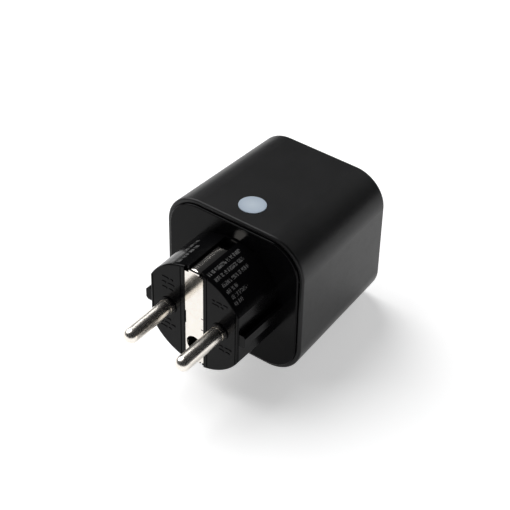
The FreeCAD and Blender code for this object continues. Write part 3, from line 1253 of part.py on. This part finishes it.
# ---------------------------------------------------------------- every sub-part, by the name of its file
PARTS = {
    "housing_shell": housing_shell(),
    "rear_cover": rear_cover(),
    "pin_live": plug_pin(-PIN_X),
    "pin_neutral": plug_pin(PIN_X),
    "earth_strip": earth_strip(),
    "earth_leaf": earth_leaf(),
    "earth_link": earth_link(),
    "socket_cup": socket_cup(),
    "cup_screws": cup_screws(),
    "socket_earth_clip": socket_earth_clip(),
    "contact_live": socket_contact(-PIN_X),
    "contact_neutral": socket_contact(PIN_X),
    "shutter": shutter(),
    "shutter_spring": shutter_spring(),
    "shutter_cover": shutter_cover(),
    "shutter_cover_screws": cover_screws(),
    "busbar_live": busbar(-PIN_X),
    "busbar_neutral": busbar(PIN_X),
    "current_shunt": current_shunt(),
    "main_board": main_board(),
    "board_screws": board_screws(),
    "button_board": button_board(),
    "board_header": board_header(),
    "button_cap": button_cap(),
    "switch_base": switch_base(),
    "switch_frame": switch_frame(),
    "switch_dome": switch_dome(),
    "switch_plunger": switch_plunger(),
    "indicator_leds": indicator_leds(),
    "relay_base": relay_base(),
    "relay_case": relay_case(),
    "relay_bobbin": relay_bobbin(),
    "relay_winding": relay_winding(),
    "relay_core": relay_core(),
    "relay_yoke": relay_yoke(),
    "relay_armature": relay_armature(),
    "relay_moving_contact": relay_moving_contact(),
    "relay_fixed_contact": relay_fixed_contact(),
    "transformer_core": transformer_core(),
    "transformer_winding": transformer_winding(),
    "bulk_capacitor": can_capacitor(*BULK_CAN, *BULK_CAN_PLACE),
    "output_capacitor": can_capacitor(*OUTPUT_CAN, *OUTPUT_CAN_PLACE),
    "suppression_capacitor": suppression_capacitor(),
    "varistor": varistor(),
    "fuse_resistor": fuse_resistor(),
    "bridge_rectifier": chip(RECTIFIER_PLACE, 2, RECTIFIER_HEIGHT),
    "metering_chip": chip(METERING_PLACE, 4),
    "regulator_chip": chip(REGULATOR_PLACE, 3),
    "power_inductor": power_inductor(),
    "wireless_module": wireless_module(),
    "module_shield": module_shield(),
}


def main():
    os.makedirs("parts", exist_ok=True)
    for name, shape in PARTS.items():
        if not shape.isValid() or not shape.Solids:
            raise ValueError(name + " is not a sound solid")
        shape.exportStep(os.path.join("parts", name + ".step"))
        print(f"{name}: {len(shape.Solids)} solid(s), {shape.Volume:.1f} mm3")


main()
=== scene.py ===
# %% [markdown]
# # A smart plug, finished in Blender
#
# The plug is already designed: its housing, insert, pins, socket and working parts come from a CAD model,
# in metres. This notebook gives that model its looks. It lights it like a small product in a white studio,
# gives each piece the finish that the real one has, and adds the fine details that a mould or a printing
# press leaves: raised marks and print.

# %% Load the model and measure it
import json
import math

import bmesh
import bpy
from mathutils import Matrix, Vector


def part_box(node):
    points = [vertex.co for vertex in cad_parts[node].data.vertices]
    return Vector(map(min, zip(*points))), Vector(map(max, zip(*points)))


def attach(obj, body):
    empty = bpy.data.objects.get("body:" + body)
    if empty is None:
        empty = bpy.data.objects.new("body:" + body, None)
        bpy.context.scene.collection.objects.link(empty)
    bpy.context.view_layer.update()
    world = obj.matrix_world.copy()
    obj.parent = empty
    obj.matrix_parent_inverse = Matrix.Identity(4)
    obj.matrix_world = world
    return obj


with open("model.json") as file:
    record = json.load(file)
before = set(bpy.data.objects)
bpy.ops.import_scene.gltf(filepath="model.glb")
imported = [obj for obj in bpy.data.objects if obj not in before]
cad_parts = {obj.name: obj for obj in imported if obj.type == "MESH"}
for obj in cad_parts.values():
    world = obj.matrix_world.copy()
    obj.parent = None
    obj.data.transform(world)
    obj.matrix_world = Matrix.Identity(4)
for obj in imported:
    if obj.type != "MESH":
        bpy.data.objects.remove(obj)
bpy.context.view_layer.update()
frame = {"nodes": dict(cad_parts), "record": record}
nodes = frame["nodes"]
MM = 0.001

# %% [markdown]
# Sizes come from the model, never from memory. The named mounts in its record say how far apart the pins
# stand, how deep the recess is and which face the plug lies on, and the button's own box says where it is.
# The round insert is part of the rear cover, so its radius and the panel's place are measured on the cover's
# mesh.

# %% Read the places that later cells need
mounts = {mount["name"]: mount for mount in frame["record"]["mounts"]}
PIN_SPACING = mounts["plug_pins"]["dims"]["spacing_x_mm"]
WELL_FLOOR = mounts["socket_contacts"]["pos_m"][1]
PANEL_EDGE = 2 * MM  # so far in from its side, the cover has only its panel
housing_low, housing_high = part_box("housing_shell")
cover_low, cover_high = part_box("rear_cover")
strip_low, strip_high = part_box("earth_strip")
button_low, button_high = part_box("button_cap")
cover_points = [vertex.co for vertex in nodes["rear_cover"].data.vertices]
PANEL_FACE = min(point.y for point in cover_points if abs(point.x) > cover_high.x - PANEL_EDGE)
INSERT_R = max(math.hypot(point.x, point.z) for point in cover_points
               if point.y < PANEL_FACE / 2 and abs(point.z) > abs(point.x))
print(f"pins {PIN_SPACING:.1f} mm apart, recess floor at {WELL_FLOOR / MM:.1f} mm")
print(f"insert radius {INSERT_R / MM:.2f} mm, panel at {PANEL_FACE / MM:.2f} mm")
for name, span in (
        ("housing", (housing_high - housing_low).y),
        ("cover", (cover_high - cover_low).y),
        ("strip", (strip_high - strip_low).z)):
    print(f"{name} {span / MM:.1f} mm from end to end")

# %% [markdown]
# ## The camera
#
# A long lens from well above the pins' side shows the insert, the button and the taper of the housing. The
# camera circles the object: a bearing, a height and a slight roll give its direction, and the aim point and
# the distance place it. Writing it this way keeps each number meaningful when the view has to change.

# %% Place the camera
CAMERA_BEARING = 35.8
CAMERA_HEIGHT = 39.37
CAMERA_ROLL = 1.33
CAMERA_DISTANCE = 0.4440
CAMERA_AIM = Vector((0.00714, 0.0199, 0.01457))
LENS = 107.6


def camera_axes(bearing, height, roll):
    """Right, up and back vectors of a camera, from angles in degrees."""
    a, e, r = (math.radians(value) for value in (bearing, height, roll))
    back = Vector((math.sin(a) * math.cos(e), -math.cos(a) * math.cos(e), math.sin(e)))
    level = Vector((math.cos(a), math.sin(a), 0.0))
    upright = back.cross(level)
    right = level * math.cos(r) + upright * math.sin(r)
    return right, back.cross(right), back


right, up, back = camera_axes(CAMERA_BEARING, CAMERA_HEIGHT, CAMERA_ROLL)
camera = bpy.data.objects.new("camera", bpy.data.cameras.new("camera"))
camera.data.lens = LENS
camera.data.sensor_width = 36.0
turn = Matrix((right, up, back)).transposed().to_4x4()
camera.matrix_world = Matrix.Translation(CAMERA_AIM + back * CAMERA_DISTANCE) @ turn
bpy.context.scene.collection.objects.link(camera)
bpy.context.scene.camera = camera
print("camera at", [round(value, 3) for value in camera.matrix_world.translation])

# %% [markdown]
# ## The studio
#
# Black plastic shows little of its own colour. What we see is mostly the room mirrored in it, so the floor
# and the lights matter as much as the material. A large white table with a faint glow of its own gives the
# bright edges and the grey right side and keeps shadows light, and a dark room above leaves the top nearly
# black. A soft sun on the left stands for a wide softbox, and a weak low one behind picks out the recess.
#
# The housing tapers, so it lies a little nose-down on a table. The floor is set against the model's resting
# face rather than level, so that the plug truly lies on it.

# %% Build the floor
FLOOR_SIZE = 14.0
FLOOR_GAP = 0.02 * MM
rest = mounts["rest_face"]
floor_normal = -Vector(rest["axis"]).normalized()
floor_mesh = bpy.data.meshes.new("floor")
edge = FLOOR_SIZE / 2
corners = [(-edge, -edge, 0), (edge, -edge, 0), (edge, edge, 0), (-edge, edge, 0)]
floor_mesh.from_pydata(corners, [], [(0, 1, 2, 3)])
floor = bpy.data.objects.new("floor", floor_mesh)
floor.matrix_world = (Matrix.Translation(Vector(rest["pos_m"]) - floor_normal * FLOOR_GAP)
                      @ floor_normal.to_track_quat("Z", "Y").to_matrix().to_4x4())
bpy.context.scene.collection.objects.link(floor)
print("floor tilt", round(math.degrees(floor_normal.angle(Vector((0, 0, 1)))), 2), "degrees")

# %% [markdown]
# The lights are distant suns that look wide, so their shadows have soft edges, and moving the plug would not
# change the light on it. Each is a row of numbers, so that a new one costs one line.

# %% Add the lights and the room
SUNS = (  # name, bearing, height, strength, width
    ("key_light", -95, 48, 3.0, 60),
    ("socket_side_light", 180, 15, 0.6, 50))
ROOM_COLOUR = (0.9, 0.93, 1.0, 1)
ROOM_STRENGTH = 0.025


def add_sun(name, bearing, height, strength, width):
    """A distant softbox: its direction and how wide it looks, in degrees, and its strength."""
    lamp = bpy.data.lights.new(name, "SUN")
    lamp.energy = strength
    lamp.angle = math.radians(width)
    holder = bpy.data.objects.new(name, lamp)
    towards = camera_axes(bearing, height, 0)[2]
    holder.rotation_euler = towards.to_track_quat("Z", "Y").to_euler()
    bpy.context.scene.collection.objects.link(holder)


for sun in SUNS:
    add_sun(*sun)
world = bpy.data.worlds.new("studio")
world.use_nodes = True
world.node_tree.nodes["Background"].inputs["Color"].default_value = ROOM_COLOUR
world.node_tree.nodes["Background"].inputs["Strength"].default_value = ROOM_STRENGTH
bpy.context.scene.world = world
bpy.context.scene.view_settings.view_transform = "Standard"
print(len(SUNS), "suns and a room of strength", ROOM_STRENGTH)

# %% [markdown]
# ## Writing shaders as sums
#
# A procedural material is a formula: noise here, times a mask there, plus a little wear. Wiring that by hand
# in Python takes many lines, so one small class wraps a node's output and lets us write the formula itself.
# Numbers go through Math nodes, colours and vectors through Vector Math and Mix, because a Math node turns a
# colour grey.

# %% Make the class that wraps an output
class Wire:
    """One output of a node. Sums on it add the nodes that work them out."""

    def __init__(self, tree, socket):
        self.tree = tree
        self.socket = socket

    def node(self, kind, settings=None, output=0, **inputs):
        """Any node: its type, its settings, which are set first, and the values or wires of its sockets."""
        made = self.tree.nodes.new(kind)
        for name, value in (settings or {}).items():
            if name == "stops":
                ramp = made.color_ramp
                while len(ramp.elements) < len(value):
                    ramp.elements.new(1.0)
                for element, (place, shade) in zip(ramp.elements, value):
                    element.position = place
                    element.color = (shade, shade, shade, 1)
            else:
                setattr(made, name, value)
        for name, value in inputs.items():
            found = made.inputs[int(name[1:]) if name[1:].isdigit() else name.replace("_", " ")]
            if isinstance(value, Wire):
                self.tree.links.new(value.socket, found)
            else:
                found.default_value = value
        return Wire(self.tree, made.outputs[output])

    def sum(self, operation, first, second):
        """A Math node on numbers, or a Vector Math node where either side is a vector."""
        vector = any(isinstance(side, Wire) and side.socket.type == "VECTOR" for side in (first, second))
        if vector and operation == "MULTIPLY" and not isinstance(second, Wire):
            return self.node("ShaderNodeVectorMath", {"operation": "SCALE"}, _0=first, Scale=second)
        kind = "ShaderNodeVectorMath" if vector else "ShaderNodeMath"
        return self.node(kind, {"operation": operation}, _0=first, _1=second)

    def __add__(self, other):
        return self.sum("ADD", self, other)

    __radd__ = __add__

    def __sub__(self, other):
        return self.sum("SUBTRACT", self, other)

    def __rsub__(self, other):
        return self.sum("SUBTRACT", other, self)

    def __mul__(self, other):
        return self.sum("MULTIPLY", self, other)

    __rmul__ = __mul__

    def __gt__(self, other):
        return self.sum("GREATER_THAN", self, other)

    def __lt__(self, other):
        return self.sum("LESS_THAN", self, other)

    def part(self, axis):
        """One component of a vector."""
        return self.node("ShaderNodeSeparateXYZ", output="XYZ".index(axis), Vector=self)

    def noise(self, size, detail=2.0, roughness=0.5):
        """Noise from 0 to 1 whose lumps are about size metres across."""
        return self.node("ShaderNodeTexNoise", Vector=self, Scale=1 / size, Detail=detail,
                         Roughness=roughness)

    def ramp(self, *stops):
        """A grey ramp through (place, shade) pairs."""
        return self.node("ShaderNodeValToRGB", {"stops": stops}, Fac=self)

    def blend(self, colour, other):
        """Mixes two colours by this number."""
        return self.node("ShaderNodeMix", {"data_type": "RGBA"}, output=2, _0=self, _6=colour, _7=other)


def rgb(red, green, blue):
    """A colour as shaders take it."""
    return (red, green, blue, 1.0)


print("the class has", len([name for name in vars(Wire) if name.startswith("__")]), "special methods")

# %% [markdown]
# Every finish starts the same way: a Principled shader with its constant values set on its own sockets, and
# a place on the surface, in metres, from the object's coordinates. Later cells only say what varies.

# %% Start a finish
def finish(name, **constants):
    """A new material with its constants set. Returns it, its place on the surface and its shader."""
    material = bpy.data.materials.new(name)
    material.use_nodes = True
    tree = material.node_tree
    shader = tree.nodes["Principled BSDF"]
    for socket, value in constants.items():
        shader.inputs[socket.replace("_", " ")].default_value = value
    place = Wire(tree, tree.nodes.new("ShaderNodeTexCoord").outputs["Object"])
    return material, place, shader


def feed(shader, **wires):
    """Links wires to the shader's sockets."""
    for socket, wire in wires.items():
        wire.tree.links.new(wire.socket, shader.inputs[socket.replace("_", " ")])


def bump(height, depth, strength=1.0):
    """A normal from a height that runs from 0 to 1, over a depth in metres."""
    return height.node("ShaderNodeBump", Height=height, Distance=depth, Strength=strength)


finishes = {}
print("ready to mix finishes, which are kept by the names of their slots")

# %% [markdown]
# ## Black plastics
#
# The plug has two. The housing is moulded in a spark-eroded tool, which leaves a fine even grain, so light
# spreads over it softly. It varies a little over the surface, as real mouldings do, and carries very faint
# handling marks.

# %% Mix the housing's satin black
HOUSING_GRAIN = 0.16 * MM
HOUSING_DRIFT = 9 * MM
HOUSING_SMUDGE = 3.5 * MM
material, place, shader = finish("housing_satin", IOR=1.47, Specular_IOR_Level=0.27)
grain = place.noise(HOUSING_GRAIN, detail=3.0, roughness=0.6)
drift = place.noise(HOUSING_DRIFT, detail=2.0)
smudge = place.noise(HOUSING_SMUDGE, detail=4.0, roughness=0.7).ramp((0.48, 0.0), (0.7, 1.0))
feed(shader,
     Base_Color=drift.blend(rgb(0.0065, 0.0065, 0.007), rgb(0.009, 0.009, 0.0095)),
     Roughness=0.31 + drift * 0.05 + grain * 0.04 + smudge * 0.03,
     Normal=bump(grain, 0.006 * MM, 0.5))
finishes["housing_black"] = material
print(material.name, len(material.node_tree.nodes), "nodes")

# %% [markdown]
# The rear panel, the insert and the recess come from a polished tool, and mirror the pins and the earth
# strip. Their roughness drifts a little with faint waves, rubbed patches and dust.

# %% Mix the glossy black of the panel, the insert and the recess
WAVE = 6 * MM
RUB = 1.6 * MM
DUST = 0.1 * MM


def gloss_black(name, colour, roughness):
    """A polished moulding: faint waviness, faint dust and a few rubbed patches."""
    material, place, shader = finish(name, Base_Color=colour, IOR=1.5, Specular_IOR_Level=0.08)
    wave = place.noise(WAVE, detail=1.0)
    rub = place.noise(RUB, detail=5.0, roughness=0.7).ramp((0.5, 0.0), (0.75, 1.0))
    fine = place.noise(DUST, detail=2.0)
    feed(shader,
         Roughness=roughness + wave * 0.03 + rub * 0.06 + fine * 0.02,
         Normal=bump(wave + fine * 0.05, 0.02 * MM, 0.25))
    return material, place, shader


finishes["cup_black"] = gloss_black("recess_gloss", rgb(0.012, 0.012, 0.013), 0.2)[0]
print("recess_gloss made")

# %% [markdown]
# The insert carries printed rating lines on its round flanks. Real wording has no place on a generic part,
# so the print here is rows of grey flecks in groups of different lengths. They are worked out in the material
# rather than cut in the mesh, because print has no height: the angle round the insert picks the row, and the
# distance along it picks the group and the fleck.

# %% Mix the insert's gloss black with its printed rows
PRINT_ROWS = (  # middle of the row in degrees, start and end in mm
    (75.8, 1.2, 16.0), (68.0, 1.4, 15.0), (60.0, 1.4, 13.8), (53.0, 1.4, 6.4), (46.5, 1.6, 9.0),
    (40.4, 1.4, 5.6), (112.0, 1.4, 11.0), (120.0, 1.4, 14.0), (128.0, 1.4, 8.0))
ROW_HALF = 2.0  # degrees
PRINT_BAND = 0.6 * MM  # print lies only this close to the insert's full radius
PRINT_TOP = INSERT_R - PRINT_BAND
PRINT_COLOUR = rgb(0.13, 0.13, 0.13)
INSERT_COLOUR = rgb(0.003, 0.003, 0.0034)
GROUPS_PER_MM = 1.3
ROW_SHIFT = 7.3  # keeps the groups of one row from repeating those of the next
GROUP_LIMIT = 0.4
FLECKS_PER_MM = 5.5
FLECKS_PER_DEGREE = 1.25
FLECK_LIMIT = 0.42

material, place, shader = gloss_black("insert_gloss", INSERT_COLOUR, 0.15)
angle = place.node("ShaderNodeMath", {"operation": "ARCTAN2"}, _0=place.part("Z"),
                   _1=place.part("X")) * (180 / math.pi)
along = place.part("Y") * (1 / MM)
radius = place.node("ShaderNodeVectorMath", {"operation": "LENGTH"}, output=1,
                    _0=place.node("ShaderNodeVectorMath", {"operation": "MULTIPLY"}, _0=place, _1=(1, 0, 1)))
letters = 0
for row, (middle, start, end) in enumerate(PRINT_ROWS):
    off = angle - middle
    inside = (off < ROW_HALF) * (off > -ROW_HALF) * (along > start) * (along < end)
    words = place.node("ShaderNodeTexNoise", {"noise_dimensions": "1D"}, Scale=1.0, Detail=0.0,
                       W=along * GROUPS_PER_MM + row * ROW_SHIFT) > GROUP_LIMIT
    column = place.node("ShaderNodeMath", {"operation": "FLOOR"}, _0=along * FLECKS_PER_MM)
    line = place.node("ShaderNodeMath", {"operation": "FLOOR"}, _0=off * FLECKS_PER_DEGREE)
    cell = place.node("ShaderNodeCombineXYZ", X=column, Y=line, Z=float(row))
    fleck = place.node("ShaderNodeTexWhiteNoise", {"noise_dimensions": "3D"}, Vector=cell) > FLECK_LIMIT
    letters = inside * words * fleck + letters
printed = letters * (radius > PRINT_TOP)
feed(shader, Base_Color=printed.blend(INSERT_COLOUR, PRINT_COLOUR))
finishes["cover_black"] = material
print(material.name, len(material.node_tree.nodes), "nodes")

# %% [markdown]
# ## Metals
#
# The pins and the earth strip are nickel on brass, so they are bright with a slightly warm tone and very
# fine lines. The pins are drawn from rod and tumbled, so their lines run along them and they are a little
# duller. The strip is rolled, so its lines run along it, and it is smoother. The other metals inside are the
# same recipe with another colour.

# %% Mix the nickel of the pins and the strip, and the metals inside
STAIN = 2.2 * MM
STAIN_SHADE = 0.8


def bright_metal(name, colour, roughness, stretch, line=0.12 * MM, relief=0.35):
    """A metal with fine lines, long in the directions where stretch is small, and faint stains."""
    material, place, shader = finish(name, Metallic=1.0)
    lined = place.node("ShaderNodeVectorMath", {"operation": "MULTIPLY"}, _0=place, _1=stretch)
    lines = lined.noise(line, detail=3.0, roughness=0.6)
    stain = place.noise(STAIN, detail=4.0, roughness=0.65)
    darker = tuple(value * STAIN_SHADE for value in colour[:3]) + (1.0,)
    feed(shader,
         Base_Color=stain.blend(darker, colour),
         Roughness=roughness + lines * 0.08 + stain * 0.06,
         Normal=bump(lines, 0.004 * MM, relief))
    return material


finishes["nickel"] = bright_metal("nickel_plate", rgb(0.90, 0.86, 0.80), 0.05, (1.0, 1.0, 0.12))
pin_plate = bright_metal("pin_plate", rgb(0.97, 0.92, 0.85), 0.2, (1.0, 0.06, 1.0), line=0.35 * MM,
                         relief=0.12)
finishes["spring_metal"] = bright_metal("spring_strip", rgb(0.78, 0.76, 0.72), 0.24, (1.0, 0.08, 0.3))
finishes["contact_brass"] = bright_metal("brass_strip", rgb(0.78, 0.58, 0.28), 0.22, (1.0, 0.1, 0.3))
finishes["copper_tin"] = bright_metal("tinned_copper", rgb(0.74, 0.60, 0.50), 0.3, (0.3, 0.3, 1.0))
finishes["screw_steel"] = bright_metal("zinc_plate", rgb(0.62, 0.63, 0.65), 0.28, (1.0, 0.4, 1.0))
finishes["relay_iron"] = bright_metal("plated_iron", rgb(0.52, 0.52, 0.54), 0.35, (0.4, 1.0, 0.4))
finishes["tin_plate"] = bright_metal("tin_plate", rgb(0.74, 0.75, 0.76), 0.3, (0.2, 1.0, 1.0))
finishes["coil_copper"] = bright_metal("enamelled_wire", rgb(0.65, 0.28, 0.13), 0.25, (1.0, 1.0, 1.0))
print(len(finishes), "finishes so far")

# %% [markdown]
# ## The button
#
# The button is a frosted light pipe. Light enters it and scatters, so it looks pale and soft. Its slightly
# lighter middle, where the indicator sits under it, is a painted glow in the base colour. Subsurface
# scattering gives the depth.

# %% Mix the button's frosted plastic
PAINTED_GLOW_RADIUS = 4.2 * MM
FROST = 0.12 * MM
material, place, shader = finish("frosted_light_pipe", Subsurface_Weight=0.35, Subsurface_Scale=1.5 * MM,
                                 Subsurface_Radius=(0.9, 1.0, 1.0), IOR=1.46)
button_middle = (button_low + button_high) / 2
offset = place.node("ShaderNodeVectorMath", {"operation": "DISTANCE"}, output=1, _0=place,
                    _1=(0.0, button_middle.y, button_high.z))
# painted glow: the base colour is lighter towards the middle of the button's top, standing for the
# indicator's light
painted_glow = (offset * (1 / PAINTED_GLOW_RADIUS)).ramp((0.0, 1.0), (0.75, 0.35), (1.0, 0.0))
frost = place.noise(FROST, detail=2.0)
feed(shader,
     Base_Color=painted_glow.blend(rgb(0.42, 0.50, 0.60), rgb(0.58, 0.66, 0.74)),
     Roughness=0.42 + frost * 0.1,
     Normal=bump(frost, 0.004 * MM, 0.3))
finishes["button_translucent"] = material
print(material.name, len(material.node_tree.nodes), "nodes")

# %% [markdown]
# ## What is inside
#
# Inside the housing are boards, a relay, a small power supply and a radio. They show only through the open
# contact holes, or when the casing is hidden, so one recipe with different colours is enough: a base colour,
# a slightly darker mottle, and a grain.

# %% Mix the plainer finishes for the inside
MOTTLE = 2.5 * MM
MOTTLE_SHADE = 0.75


def moulded(name, colour, roughness, grain=0.2 * MM, coat=0.0):
    """A plain moulding, coating or board with a mottle and a grain."""
    material, place, shader = finish(name, Coat_Weight=coat)
    mottle = place.noise(MOTTLE, detail=3.0)
    speck = place.noise(grain, detail=2.0)
    darker = tuple(value * MOTTLE_SHADE for value in colour[:3]) + (1.0,)
    feed(shader,
         Base_Color=mottle.blend(darker, colour),
         Roughness=roughness + speck * 0.12,
         Normal=bump(speck, 0.006 * MM, 0.4))
    return material


PLAIN = {
    "shutter_plastic": ("shutter_grey", rgb(0.035, 0.035, 0.038), 0.42, 0.0),
    "board_green": ("solder_mask", rgb(0.02, 0.13, 0.06), 0.25, 0.4),
    "part_black": ("moulding_compound", rgb(0.02, 0.02, 0.022), 0.5, 0.0),
    "relay_case_plastic": ("relay_cover", rgb(0.03, 0.08, 0.25), 0.3, 0.0),
    "moulding_white": ("white_moulding", rgb(0.78, 0.77, 0.72), 0.45, 0.0),
    "ferrite": ("ferrite", rgb(0.05, 0.05, 0.055), 0.6, 0.0),
    "tape_yellow": ("insulating_tape", rgb(0.80, 0.55, 0.08), 0.35, 0.2),
    "can_dark": ("can_sleeve", rgb(0.02, 0.025, 0.05), 0.3, 0.2),
    "capacitor_yellow": ("film_capacitor", rgb(0.72, 0.50, 0.10), 0.35, 0.2),
    "varistor_blue": ("epoxy_blue", rgb(0.03, 0.10, 0.34), 0.3, 0.3),
    "resistor_green": ("flameproof_green", rgb(0.10, 0.22, 0.14), 0.55, 0.0),
    "lamp_lens": ("lamp_lens", rgb(0.85, 0.88, 0.90), 0.15, 0.0),
}
for slot_name, (name, colour, roughness, coat) in PLAIN.items():
    finishes[slot_name] = moulded(name, colour, roughness, coat=coat)
print(len(finishes), "finishes in all")

# %% [markdown]
# The floor is a plain white table with the faintest tooth, and a weak glow of its own, as a light table has.
# It has to stay quiet, because everything on the plug mirrors it.

# %% Mix the white of the table
TABLE_TOOTH = 0.8 * MM
material, place, shader = finish("white_table", Roughness=0.8, Emission_Color=rgb(1.0, 1.0, 1.0),
                                 Emission_Strength=0.5)
tooth = place.noise(TABLE_TOOTH, detail=2.0)
feed(shader, Base_Color=tooth.blend(rgb(0.885, 0.885, 0.885), rgb(0.905, 0.905, 0.905)))
floor.data.materials.append(material)
print(material.name, "glows with strength", shader.inputs["Emission Strength"].default_value)

# %% [markdown]
# ## Dress the CAD pieces
#
# The model's record names the slot of each CAD piece, so one loop dresses them all, and a piece can't be
# forgotten: a slot with no finish stops the script. The pins share the strip's slot, but their metal is drawn
# rather than rolled, so they get their own finish after it.

# %% Give every CAD piece its finish
slot_of = {entry["node"]: entry["material_slot"] for entry in frame["record"]["subparts"]}
for name, piece in nodes.items():
    piece.data.materials.clear()
    piece.data.materials.append(finishes[slot_of[name]])
for name in ("pin_live", "pin_neutral"):
    nodes[name].data.materials[0] = pin_plate
print("dressed", len(nodes), "pieces")

# %% [markdown]
# ## Raised marks
#
# A mould leaves marks on the insert's face and in the recess: ratings, the maker's signs and a cavity
# number. A generic part keeps their rough size and place, but not what they say, so they are short
# round-ended bars. Each bar is a real raised shape, because its bright upper edge is what shows on black
# plastic, and a bump would flatten when seen from the side. An outline is drawn three times: sunk in the
# surface, at the shoulder and, smaller, at the top.

# %% Build raised bars on a flat face
MARK_HEIGHT = 0.2 * MM
MARK_SINK = 0.05 * MM
MARK_SHOULDER = 0.06 * MM
OUTLINES = ((-MARK_SINK, 0), (MARK_HEIGHT - MARK_SHOULDER, 0), (MARK_HEIGHT, MARK_SHOULDER))
ROUND_STEPS = 6


def raised_bars(name, bars, level, facing):
    """Round-ended bars (x, z, length, width, turn in degrees), in mm, on a face across Y."""
    mesh = bmesh.new()
    for x, z, length, width, turn in bars:
        along = Vector((math.cos(math.radians(turn)), 0, math.sin(math.radians(turn))))
        middle = Vector((x * MM, level, z * MM))
        rings = []
        for height, inset in OUTLINES:
            ring = []
            for end in (1, -1):
                for step in range(ROUND_STEPS + 1):
                    angle = math.radians(turn + (0 if end > 0 else 180) - 90 + 180 * step / ROUND_STEPS)
                    round_part = Vector((math.cos(angle), 0, math.sin(angle))) * (width / 2 * MM - inset)
                    lift = Vector((0, facing * height, 0))
                    centre = middle + along * (end * (length - width) / 2 * MM)
                    ring.append(mesh.verts.new(centre + round_part + lift))
            rings.append(ring)
        for lower, upper in zip(rings, rings[1:]):
            for this in range(len(lower)):
                after = (this + 1) % len(lower)
                mesh.faces.new((lower[this], lower[after], upper[after], upper[this]))
        mesh.faces.new(rings[-1])
    bmesh.ops.recalc_face_normals(mesh, faces=mesh.faces)
    data = bpy.data.meshes.new(name)
    mesh.to_mesh(data)
    mesh.free()
    piece = bpy.data.objects.new(name, data)
    bpy.context.scene.collection.objects.link(piece)
    return piece


print("a bar stands", MARK_HEIGHT / MM, "mm proud")

# %% [markdown]
# Bars look like marks only when they come in lines with uneven lengths. A short list of lengths, started at a
# different place for each line, does that without any chance, so every run gives the same marks.

# %% Lay out lines of bars
BAR_LENGTHS = (1.6, 2.6, 1.1, 2.0)
BAR_GAP = 0.5
BAR_WIDTH = 0.75


def bar_lines(left, right, top, bottom, lines, seed=0):
    """Bars in lines between four edges, in mm, with uneven lengths, as (x, z, length, width, turn)."""
    made = []
    for line in range(lines):
        z = top + (bottom - top) * (line + 0.5) / lines
        x = left
        count = seed + line * 3
        while x < right - 2 * BAR_WIDTH:
            length = min(BAR_LENGTHS[count % len(BAR_LENGTHS)], right - x)
            made.append((x + length / 2, z, length, BAR_WIDTH, 0))
            x += length + BAR_GAP
            count += 1
    return made


FACE_MARKS = (bar_lines(-11.8, -6.6, 11.2, 5.4, 3, seed=1) + bar_lines(6.6, 12.4, 11.2, 8.6, 2, seed=2)
              + bar_lines(-12.7, -7.0, -4.7, -9.9, 3, seed=3) + bar_lines(9.1, 13.9, -4.7, -7.7, 2, seed=0))
RECESS_MARKS = bar_lines(-4.6, 4.6, 10.6, 8.0, 2, seed=1) + bar_lines(-4.6, 4.6, -8.0, -10.6, 2, seed=2)
print(len(FACE_MARKS), "bars for the face,", len(RECESS_MARKS), "for the recess")

# %% [markdown]
# The marks belong to the piece they stand on, so they ride on its body and take its finish. The insert's
# face lies at the model's origin and faces backwards; the recess floor faces forwards.

# %% Put marks on the insert's face and in the recess
for name, bars, level, facing, slot in (
        ("face_marks", FACE_MARKS, 0.0, -1, "cover_black"),
        ("recess_marks", RECESS_MARKS, WELL_FLOOR, 1, "cup_black")):
    piece = raised_bars(name, bars, level, facing)
    piece.data.materials.append(finishes[slot])
    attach(piece, "base")
    print(name, len(bars), "bars")
